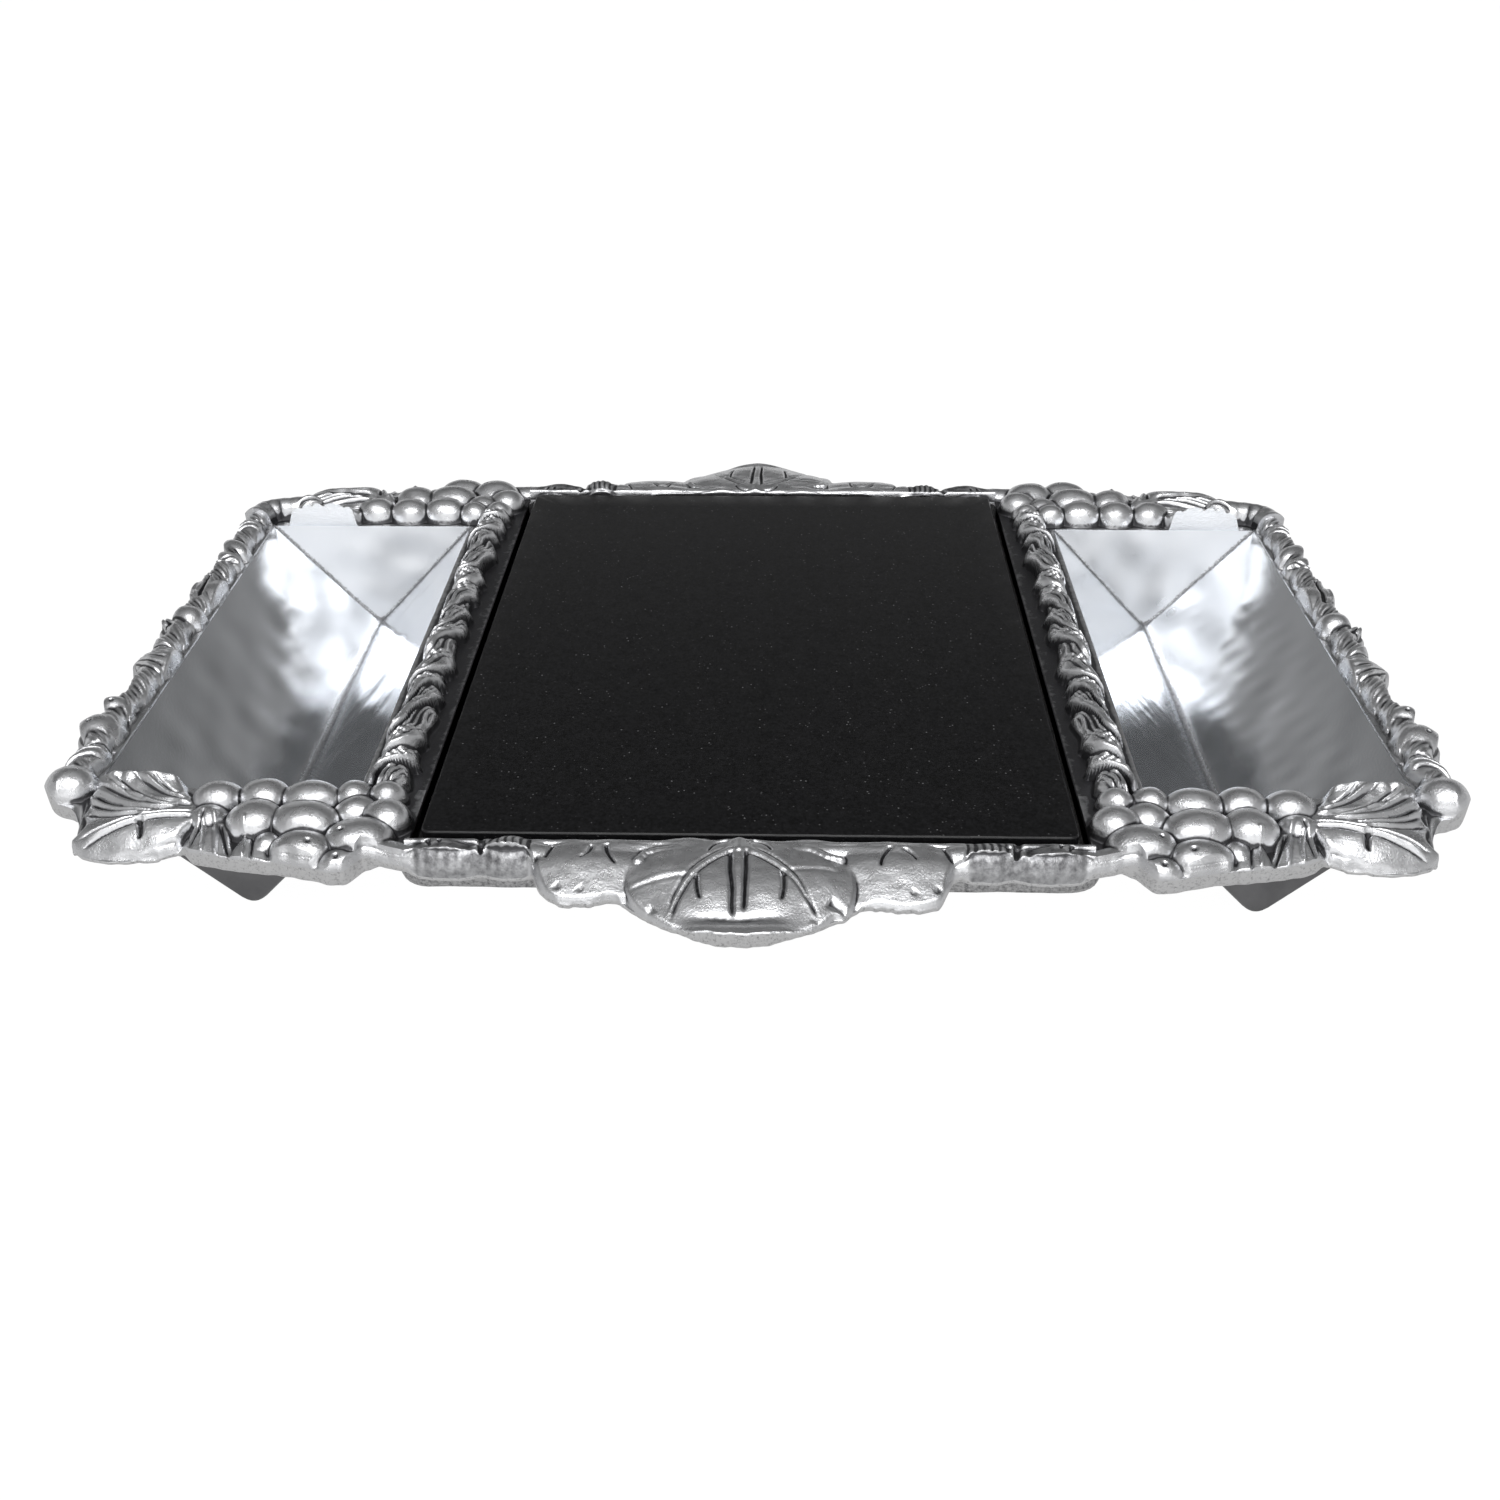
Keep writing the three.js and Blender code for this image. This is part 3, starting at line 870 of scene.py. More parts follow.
class Nodes:
    """Short hand for building a tree of shader nodes."""

    def __init__(self, tree: bpy.types.NodeTree) -> None:
        """Take up the tree to which the nodes are added."""
        self.tree = tree

    def add(self, kind: str) -> bpy.types.Node:
        """Put a node of a kind into the tree."""
        return self.tree.nodes.new(kind)

    def link(self, source: Socket, target: Socket) -> None:
        """Join an output to an input."""
        self.tree.links.new(source, target)

    def span(self, source: Socket, given: Point = UNIT, wanted: Point = UNIT) -> Socket:
        """Stretch a range of numbers onto another, clamped.

        Args:
            source: the number.
            given: lower and upper end of its range.
            wanted: results at those two ends.

        Returns:
            The output that gives the result.
        """
        node = self.add("ShaderNodeMapRange")
        self.link(source, node.inputs["Value"])
        for key, number in zip(("From Min", "From Max", "To Min", "To Max"), given + wanted):
            node.inputs[key].default_value = number
        return node.outputs["Result"]

    def sum(self, a: Socket, b: Socket, kind: str = "ADD") -> Socket:
        """Work on two numbers.

        Args:
            a: first number.
            b: second number.
            kind: the operation.

        Returns:
            The output that gives the result.
        """
        node = self.add("ShaderNodeMath")
        node.operation = kind
        self.link(a, node.inputs[0])
        self.link(b, node.inputs[1])
        return node.outputs["Value"]

    def ramp(self, share: Socket, stops: Sequence[Tuple[float, Colour]]) -> Socket:
        """Colour along a line of stops.

        Args:
            share: the place on the line.
            stops: pairs of place and colour, in rising order.

        Returns:
            The output that gives the colour.
        """
        node = self.add("ShaderNodeValToRGB")
        elements = node.color_ramp.elements
        for element, (place, colour) in zip((elements[0], elements[1]), (stops[0], stops[-1])):
            element.position = place
            element.color = (*colour, 1.0)
        for place, colour in stops[1:-1]:
            elements.new(place).color = (*colour, 1.0)
        self.link(share, node.inputs["Fac"])
        return node.outputs["Color"]

    def tint(self, share: Socket, first: Colour, second: Colour) -> Socket:
        """Colour between two colours, the first at 0 and the second at 1."""
        return self.ramp(share, ((0.0, first), (1.0, second)))

    def blend(self, share: Socket, a: Socket, b: Socket) -> Socket:
        """Mix of two linked colours.

        Args:
            share: 0 for the first and 1 for the second.
            a: first colour.
            b: second colour.

        Returns:
            The output that gives the colour.
        """
        node = self.add("ShaderNodeMix")
        node.data_type = "RGBA"
        self.link(share, node.inputs[0])
        self.link(a, node.inputs[6])
        self.link(b, node.inputs[7])
        return node.outputs[2]


class Paint(Nodes):
    """Short hand for building a finish on object coordinates."""

    def __init__(self, name: str) -> None:
        """Start a material with a principled surface.

        Args:
            name: the finish's name.
        """
        self.material = bpy.data.materials.new(name)
        self.material.use_nodes = True
        super().__init__(self.material.node_tree)
        self.shader = self.tree.nodes["Principled BSDF"]
        self.place = self.add("ShaderNodeTexCoord").outputs["Object"]

    def feed(self, name: str, source: Socket) -> None:
        """Join an output to one of the surface's inputs."""
        self.link(source, self.shader.inputs[name])

    def fix(self, name: str, number: float) -> None:
        """Set one of the surface's inputs to a number."""
        self.shader.inputs[name].default_value = number

    def value(self, name: str) -> Socket:
        """Number that the mesh carries for each point, by the attribute's name."""
        node = self.add("ShaderNodeAttribute")
        node.attribute_name = name
        return node.outputs["Fac"]

    def noise(self, scale: float, detail: float = 3.0, rough: float = 0.5) -> Socket:
        """Noise on object coordinates.

        Args:
            scale: repeats in a metre.
            detail: number of finer layers.
            rough: strength of the finer layers.

        Returns:
            The output that gives it.
        """
        node = self.add("ShaderNodeTexNoise")
        for key, number in (("Scale", scale), ("Detail", detail), ("Roughness", rough)):
            node.inputs[key].default_value = number
        self.link(self.place, node.inputs["Vector"])
        return node.outputs["Fac"]

    def cells(self, scale: float) -> Socket:
        """Distance to the nearest of scattered points, so many in a metre."""
        node = self.add("ShaderNodeTexVoronoi")
        node.inputs["Scale"].default_value = scale
        self.link(self.place, node.inputs["Vector"])
        return node.outputs["Distance"]

    def bump(self, height: Socket, depth: float) -> None:
        """Raise the surface by a number times a depth in metres."""
        node = self.add("ShaderNodeBump")
        node.inputs["Distance"].default_value = depth
        self.link(height, node.inputs["Height"])
        self.feed("Normal", node.outputs["Normal"])


@dataclass(frozen=True)
class AntiquedShadedCasting:
    """Satin aluminium of the rim, with dark patina and painted shade in the hollows and sanded cast faces.
    """

    name: str = "antiqued_aluminium"
    bright: Colour = (0.66, 0.665, 0.68)
    polished: Colour = (0.79, 0.81, 0.84)
    # Dark colour of the patina and of the painted shade.
    patina_and_shade: Colour = (0.085, 0.085, 0.09)
    face: Colour = (0.66, 0.66, 0.665)
    pore: Colour = (0.26, 0.26, 0.265)
    satin: Point = (0.24, 0.36)
    dulled: float = 0.18
    shine: float = -0.08
    depth: float = 0.00005

    def build(self) -> Material:
        """Make the finish from the recess, cast and gloss values of the mesh."""
        paint = Paint(self.name)
        mottle = paint.span(paint.noise(420.0, 4.0, 0.6), (0.35, 0.7), (-0.14, 0.18))
        # The recess value is patina and painted shade; this dark colour stands for both.
        patina_and_shade = paint.span(paint.sum(paint.value("recess"), mottle), (0.25, 0.95))
        gloss, cast = paint.value("gloss"), paint.value("cast")
        satin = paint.tint(patina_and_shade, self.bright, self.patina_and_shade)
        metal = paint.blend(gloss, satin, paint.tint(patina_and_shade, self.polished, self.patina_and_shade))
        pores = paint.span(paint.noise(1000.0, 5.0, 0.7), (0.52, 0.74))
        paint.feed("Base Color", paint.blend(cast, metal, paint.tint(pores, self.face, self.pore)))
        rough = paint.span(paint.noise(300.0, 4.0, 0.6), (0.3, 0.72), self.satin)
        dull = paint.span(paint.sum(patina_and_shade, cast, "MAXIMUM"), wanted=(0.0, self.dulled))
        shine = paint.span(gloss, wanted=(0.0, self.shine))
        paint.feed("Roughness", paint.sum(paint.sum(rough, dull), shine))
        fine = paint.span(paint.noise(1400.0, 4.0, 0.6), (0.3, 0.7))
        pitted = paint.sum(pores, paint.span(cast, wanted=(-0.4, -2.6)), "MULTIPLY")
        paint.bump(paint.sum(fine, pitted), self.depth)
        paint.fix("Metallic", 1.0)
        return paint.material


@dataclass(frozen=True)
class PolishedTrough:
    """Buffed inside of the troughs, hazier on the ends, with pores along the creases; satin outside,
    darkened as painted shade.
    """

    name: str = "polished_aluminium"
    bright: Colour = (0.79, 0.81, 0.84)
    seam: Colour = (0.3, 0.3, 0.31)
    # The outside colours are satin, darkened further as painted shade for the shadow under the tray.
    satin: Colour = (0.2, 0.2, 0.205)
    shaded_blotch: Colour = (0.145, 0.145, 0.15)
    haze: Point = (0.12, 0.20)
    seam_dull: float = 0.3
    under_dull: float = 0.28
    ends_dull: float = 0.19
    depth: float = 0.00001

    def build(self) -> Material:
        """Make the finish from the crease, ends and under values of the mesh."""
        paint = Paint(self.name)
        grit = paint.span(paint.noise(1200.0, 4.0, 0.7), (0.35, 0.7), (-0.3, 0.35))
        seam = paint.span(paint.sum(paint.value("crease"), grit), (0.45, 0.95))
        inside = paint.tint(seam, self.bright, self.seam)
        blotches = paint.span(paint.noise(60.0, 4.0, 0.6), (0.35, 0.7))
        # Painted shade under the tray: the outside's dark satin colours.
        outside = paint.tint(blotches, self.satin, self.shaded_blotch)
        under = paint.value("under")
        paint.feed("Base Color", paint.blend(under, inside, outside))
        haze = paint.span(paint.noise(38.0, 4.0, 0.55), (0.35, 0.7), self.haze)
        dull = paint.sum(paint.span(seam, wanted=(0.0, self.seam_dull)),
                         paint.span(under, wanted=(0.0, self.under_dull)))
        ends = paint.span(paint.value("ends"), wanted=(0.0, self.ends_dull))
        paint.feed("Roughness", paint.sum(paint.sum(haze, ends), dull))
        grain = paint.span(paint.noise(1500.0, 3.0, 0.6), (0.3, 0.7))
        paint.bump(paint.sum(grain, paint.span(seam, wanted=(0.0, -4.0))), self.depth)
        paint.fix("Metallic", 1.0)
        return paint.material


@dataclass(frozen=True)
class SandCast:
    """Raw sand-cast aluminium of the pan, grey and porous."""

    name: str = "sand_cast_aluminium"
    grey: Colour = (0.52, 0.52, 0.525)
    pore: Colour = (0.15, 0.15, 0.155)
    rough: Point = (0.36, 0.54)
    depth: float = 0.00012

    def build(self) -> Material:
        """Make the finish from pores on object coordinates."""
        paint = Paint(self.name)
        pores = paint.span(paint.noise(800.0, 5.0, 0.7), (0.42, 0.68))
        paint.feed("Base Color", paint.tint(pores, self.grey, self.pore))
        paint.feed("Roughness", paint.span(paint.noise(300.0), (0.3, 0.7), self.rough))
        paint.bump(paint.span(pores, wanted=(1.0, 0.0)), self.depth)
        paint.fix("Metallic", 1.0)
        return paint.material


@dataclass(frozen=True)
class HonedStone:
    """Honed black granite with fine pale grains and a paler sawn arris."""

    name: str = "black_stone"
    dark: Colour = (0.0003, 0.0003, 0.0004)
    pale: Colour = (0.0085, 0.0085, 0.0095)
    grain: Colour = (0.16, 0.16, 0.165)
    sawn: Tuple[Colour, Colour] = ((0.008, 0.008, 0.009), (0.02, 0.02, 0.021))
    rough: Point = (0.28, 0.38)
    depth: float = 0.00001
    sheen: float = 0.23

    def build(self) -> Material:
        """Make the finish from scattered grains on object coordinates and the mesh's arris value."""
        paint = Paint(self.name)
        spread = paint.span(paint.noise(140.0, 2.0), (0.36, 0.66))
        grains = paint.span(paint.cells(460.0), (0.08, 0.16), (1.0, 0.0))
        ground = paint.tint(paint.span(paint.noise(900.0, 4.0, 0.7), (0.36, 0.64)), self.dark, self.pale)
        pale = paint.tint(spread, self.pale, self.grain)
        stone = paint.blend(paint.sum(grains, spread, "MULTIPLY"), ground, pale)
        arris = paint.tint(paint.noise(600.0), *self.sawn)
        paint.feed("Base Color", paint.blend(paint.value("arris"), stone, arris))
        paint.feed("Roughness", paint.span(paint.noise(160.0, 4.0), (0.3, 0.7), self.rough))
        paint.bump(paint.noise(1400.0, 4.0), self.depth)
        paint.fix("Specular IOR Level", self.sheen)
        return paint.material


@dataclass(frozen=True)
class PadRubber:
    """Dark moulded rubber of the bumper pads."""

    name: str = "pad_rubber"
    dark: Colour = (0.018, 0.018, 0.019)
    pale: Colour = (0.035, 0.035, 0.036)
    rough: Point = (0.5, 0.68)
    depth: float = 0.00004

    def build(self) -> Material:
        """Make the finish from a fine mottle."""
        paint = Paint(self.name)
        paint.feed("Base Color", paint.tint(paint.noise(500.0), self.dark, self.pale))
        paint.feed("Roughness", paint.span(paint.noise(900.0), (0.3, 0.7), self.rough))
        paint.bump(paint.noise(1600.0), self.depth)
        return paint.material


def dress(piece: bpy.types.Object, finish: Material, body: str, node: str) -> None:
    """Give a piece its finish and body, and hide the CAD node that it replaces.

    Args:
        piece: the new object.
        finish: its material.
        body: the body that it moves with.
        node: the CAD node that it replaces, alone or with other pieces.
    """
    piece.data.materials.append(finish)
    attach(piece, body)
    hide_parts(node)
    LOG.info("piece %s: %d faces", piece.name, len(piece.data.polygons))


def dress_casting(piece: bpy.types.Object, finish: Material) -> None:
    """Dress a piece of the tray, which is one casting."""
    dress(piece, finish, "tray", "tray_casting")


def strokes(*rows: Tuple[float, ...]) -> List[Stroke]:
    """Ribs and grooves from rows of their numbers, in the order of the fields of a stroke."""
    return [Stroke(*row) for row in rows]


def rail_vine(sign: float) -> Vine:
    """Vine of the rail between a corner and the leaf handle, on the side with the given sign of x."""
    path = (
        (119.0, 127.0), (112.0, 133.2), (105.0, 135.0), (97.0, 134.4), (86.0, 135.4), (75.0, 134.2),
        (62.0, 134.8), (50.0, 134.0), (30.0, 132.4), (8.0, 131.8))
    return Vine(tuple((sign * u, v) for u, v in path), 5.6, 0.6, knots=4.5, swell=0.08, turns=0.5, lobe=0.04,
                bark=0.04, shift=0.9)


@dataclass
class CornerBunch:
    """One corner of the rim: a bunch of grapes, a pointed leaf and the end of the side vine."""

    side: Side
    end: End
    inner: Points = (
        (105.0, 138.0), (110.0, 136.8), (114.5, 135.6), (117.8, 136.2), (119.8, 139.6), (121.5, 142.0),
        (124.5, 143.0), (131.7, 141.4), (141.5, 139.0), (145.5, 138.4), (157.2, 136.8), (165.0, 135.0),
        (171.5, 133.2), (174.5, 131.0), (177.1, 130.2), (181.7, 132.2), (188.1, 133.2), (197.7, 133.7))
    front: Points = (
        (201.0, 133.3), (205.0, 132.0), (208.8, 129.9), (210.9, 127.4), (211.6, 123.0), (212.6, 118.4),
        (214.4, 114.6), (217.2, 111.6), (221.0, 110.2), (224.4, 108.6), (226.9, 106.0), (228.6, 103.0))
    back: Points = (
        (205.0, 132.2), (208.0, 130.8), (210.5, 128.5), (211.5, 125.0), (213.0, 121.6), (216.4, 119.6),
        (219.5, 116.5), (222.5, 112.6), (224.6, 108.0), (225.4, 104.0))
    grapes: Tuple[Grape, ...] = (
        Grape(169.5, 109.6, 7.9, 6.6, 4.9, 0.10), Grape(154.8, 108.6, 8.0, 6.6, 5.2, -0.05),
        Grape(139.6, 109.4, 9.3, 6.6, 5.2, 0.08), Grape(126.3, 107.6, 6.2, 5.5, 4.4, 0.3),
        Grape(115.6, 107.8, 5.8, 5.2, 4.6, 0.0), Grape(169.6, 119.2, 6.8, 5.6, 2.6, -0.2),
        Grape(154.4, 121.0, 8.5, 7.5, 5.2, 0.12), Grape(138.4, 121.6, 10.5, 7.5, 5.6, -0.08),
        Grape(123.8, 115.6, 7.0, 6.2, 3.8, 0.2), Grape(113.6, 118.8, 7.4, 6.6, 5.0, -0.3),
        Grape(119.8, 129.2, 10.0, 7.6, 4.8, 0.15, pit=(0.45, 0.1)),
        Grape(136.4, 134.0, 9.6, 6.9, 3.4, -0.10, pit=(-0.3, 0.15)),
        Grape(123.4, 138.4, 7.8, 5.2, 0.6, 0.05, pit=(0.1, 0.2)), Grape(148.2, 130.0, 5.4, 5.2, 0.4, 0.6))
    ground: float = 46.0
    edge: float = 45.8
    foot: float = 39.8
    leaf_start: Point = (173.0, 178.0)
    leaf_stop: Point = (217.0, 211.0)
    rows: int = 420
    cols: int = 132

    def relief(self) -> Relief:
        """Grapes in four loose rows, the broad leaf, the tuft beside it and the ends of the vines.

        Returns:
            The corner's ornament in the coordinates of one quarter of the tray.
        """
        relief = Relief(0.7)
        inner_tuft = ((172.0, 137.0), (173.0, 126.0), (172.3, 118.0), (168.5, 116.8), (164.0, 120.5),
                      (161.0, 126.0), (157.8, 138.5), (164.5, 138.5))
        outer_tuft = ((157.6, 139.5), (156.0, 128.0), (153.5, 123.5), (150.5, 124.5), (148.8, 130.0),
                      (146.5, 141.0))
        relief.forms += [
            *self.grapes, self.leaf(),
            LeafSheet(inner_tuft, (167.0, 124.0), -0.6, (0.0, -0.1), 1.0),
            LeafSheet(outer_tuft, (152.5, 129.0), -1.2, (0.0, -0.06), 1.4),
            WrappedVine(self.end.value), rail_vine(1.0), *self.turning()]
        relief.strokes += self.feathers() + strokes(
            (174.0, 119.3, 206.0, 128.6, 1.2, 0.7, -1.6), (175.0, 121.0, 204.5, 129.8, 0.6, -1.1, -1.6, 0.4),
            (175.5, 117.8, 207.0, 127.2, 0.6, -1.2, -1.6, 0.4),
            (190.0, 122.6, 188.2, 129.0, 1.0, -2.0, 0.5, 0.4), (193.0, 124.4, 206.0, 130.0, 0.5, -0.7),
            (170.5, 119.0, 171.5, 133.0, 0.7, -1.0), (167.0, 119.0, 162.4, 136.0, 0.9, 1.0),
            (170.6, 122.0, 167.4, 135.0, 0.9, 0.9, 0.8),
            (155.6, 125.0, 154.2, 137.0, 0.8, 0.8), (164.5, 124.0, 158.6, 136.0, 0.7, -1.2),
            (152.6, 129.0, 151.2, 138.0, 0.6, -0.9))
        return relief

    def leaf(self) -> CornerLeaf:
        """Broad leaf of the corner: low in front, fuller and nearer the grapes at the back."""
        if self.end is End.FRONT:
            return CornerLeaf()
        return CornerLeaf(rise=3.8, stand=1.6, scallop=1.5, shift=6.5)

    def feathers(self) -> List[Stroke]:
        """Grooves fanned over the leaf's upper lobe, with a low ridge beside each."""
        grooves = (
            (177.0, 114.4, 209.0, 104.0, 0.8, -1.2, 2.6), (181.0, 113.0, 204.0, 101.6, 0.55, -0.9, 2.2),
            (179.0, 111.0, 198.0, 100.6, 0.7, -1.1, 1.6), (183.0, 107.6, 192.0, 100.6, 0.5, -0.8, 0.8),
            (182.0, 116.6, 211.0, 107.6, 0.7, -1.2, 2.8), (187.0, 117.6, 210.5, 111.4, 0.55, -1.0, 2.2),
            (191.0, 119.4, 209.0, 116.4, 0.9, -1.4, 1.4), (196.0, 108.0, 206.5, 102.0, 0.5, -0.8, 0.9),
            (199.0, 113.6, 210.0, 109.0, 0.5, -0.8, 0.8), (193.0, 110.6, 201.0, 106.0, 0.45, -0.6, 0.7))
        ridges = ((178.0, 112.6, 206.0, 102.6, 0.8, 0.7, 2.4), (181.0, 109.6, 195.0, 100.8, 0.8, 0.6, 1.2),
                  (181.0, 115.2, 210.0, 105.8, 0.8, 0.7, 2.6), (185.0, 117.0, 210.6, 109.6, 0.8, 0.7, 2.4),
                  (189.0, 118.6, 209.5, 114.0, 0.7, 0.6, 1.6))
        shift = self.leaf().shift
        return [Stroke(u0 - shift, v0, u1 - shift, v1, width, lift, bow, 0.2)
                for u0, v0, u1, v1, width, lift, bow in grooves + ridges]

    def turning(self) -> List[object]:
        """Form at the outer corner: a round ball in front, a smooth bent stem at the back."""
        if self.end is End.FRONT:
            return [SideVine.stem(-1.0), SideVine.bud(-1.0), SideVine.ball(-1.0)]
        path = ((220.4, 90.0), (220.6, 100.5), (218.4, 107.6), (213.0, 111.2), (205.6, 112.0),
                (200.0, 112.2))
        bend = Vine(path, 5.4, 4.5, knots=1.2, swell=0.05, turns=0.2, lobe=0.0, bark=0.0)
        return [SideVine.stem(1.0), bend]

    def build(self, finish: Material) -> None:
        """Sample the relief from the trough's edge to the outline.

        Rows run along u, evenly, and columns from the inner edge to the outline at that u. The
        leaf's edge is thin and droops; the grapes stand on a full cast face.

        Args:
            finish: the rim's material.
        """
        back = self.end is End.BACK
        marks = self.inner + (self.back if back else self.front)
        flat = np.linspace(marks[0][0], marks[-1][0], self.rows)
        ragged = 0.22 * waver(flat, 0.0 * flat, 9.0, self.side.value + 2.3 * self.end.value)
        ragged = ragged * smooth_step(105.0, 110.0, flat) * smooth_step(229.0, 224.0, flat)
        outer = smooth_line(marks, flat) + ragged
        start = LAYOUT.trough_half_length + OVERLAP
        v = start + (outer - start)[:, None] * np.linspace(0.0, 1.0, self.cols)[None, :]
        u = flat[:, None] + 0.0 * v
        shift = 0.25 * waver(u, v, 26.0, 3.0 * self.side.value + self.end.value)
        shift = shift * smooth_step(100.0, 106.0, v)
        leaf = smooth_step(*self.leaf_start, flat)
        thin = leaf * smooth_step(*self.leaf_stop, flat) + 0.5 * smooth_step(117.0, 112.0, flat)
        inset = outer[:, None] - v
        ground = self.ground - 4.2 * thin[:, None] * smooth_step(9.0, 0.0, inset)
        top = self.relief().height(u + shift, v - shift, ground)
        # Low bare ground between the forms takes patina and painted shade.
        bare = 0.75 * smooth_step(1.0, 0.15, top - ground) * smooth_step(2.5, 7.0, inset)
        # The edge droops along the leaf, climbs at the turning and dips towards the rail.
        edge = self.edge - 3.4 * leaf - 0.5 * smooth_step(196.0, 210.0, flat)
        edge = edge + 9.0 * smooth_step(212.0, 216.0, flat) - 1.2 * smooth_step(117.0, 110.0, flat)
        top = np.minimum(top, edge_round(inset, edge[:, None], 2.6))
        lip = edge_round(u - LAYOUT.recess_half_width, LAYOUT.plate_top - 0.9, 1.0)
        top = np.where(v < 129.5, np.minimum(top, lip), top)
        # The brow over the trough's end wall leans and shines as the wall does.
        over_trough = smooth_step(126.0, 128.0, flat) * smooth_step(214.0, 212.0, flat)
        brow = over_trough[:, None] * smooth_step(105.0, 101.5, v)
        # The back corners take an even painted shade that the front ones lack.
        cut = RimEdge(thin, np.full(self.rows, self.foot), LAYOUT.end_lean * over_trough, bare, gloss=1.0,
                      wall_shade=0.0, patina_and_shade=(0.48 if back else 0.0) - 1.2 * brow)
        name = f"corner_bunch_{self.end.word}_{self.side.word}"
        dress_casting(relief_piece(name, self.side.value * u, self.end.value * v, top, cut), finish)


@dataclass
class DividerRope:
    """Strip between a trough and the slab: a vine wound like a rope on smooth margins."""

    side: Side
    ground: float = 46.0
    rows: int = 620
    cols: int = 64

    def build(self, finish: Material) -> None:
        """Sample the wound vine over the strip, rows along y and columns from slab to trough.

        Args:
            finish: the rim's material.
        """
        reach = LAYOUT.trough_half_length + OVERLAP
        y = np.linspace(-reach, reach, self.rows)
        u = np.linspace(LAYOUT.recess_half_width, LAYOUT.trough_in, self.cols)
        y, u = np.meshgrid(y, u, indexing="ij")
        relief = Relief(0.7)
        relief.forms.append(WrappedVine())
        top = relief.height(u, y, np.full(u.shape, self.ground))
        bare = 0.4 * smooth_step(47.0, 46.15, top)
        lip = np.minimum(u - LAYOUT.recess_half_width, LAYOUT.trough_in - u)
        top = np.minimum(top, edge_round(lip, LAYOUT.plate_top - 0.6, 0.8))
        zero = np.zeros(self.rows)
        # Painted shade on the walls in the gaps; patina and painted shade over the whole strip.
        cut = RimEdge(zero, zero + LAYOUT.plate_bottom, zero, bare, draft=0.4, wall_shade=0.8, patina_and_shade=0.58)
        piece = relief_piece(f"divider_rope_{self.side.word}", self.side.value * u, y, top, cut)
        dress_casting(piece, finish)


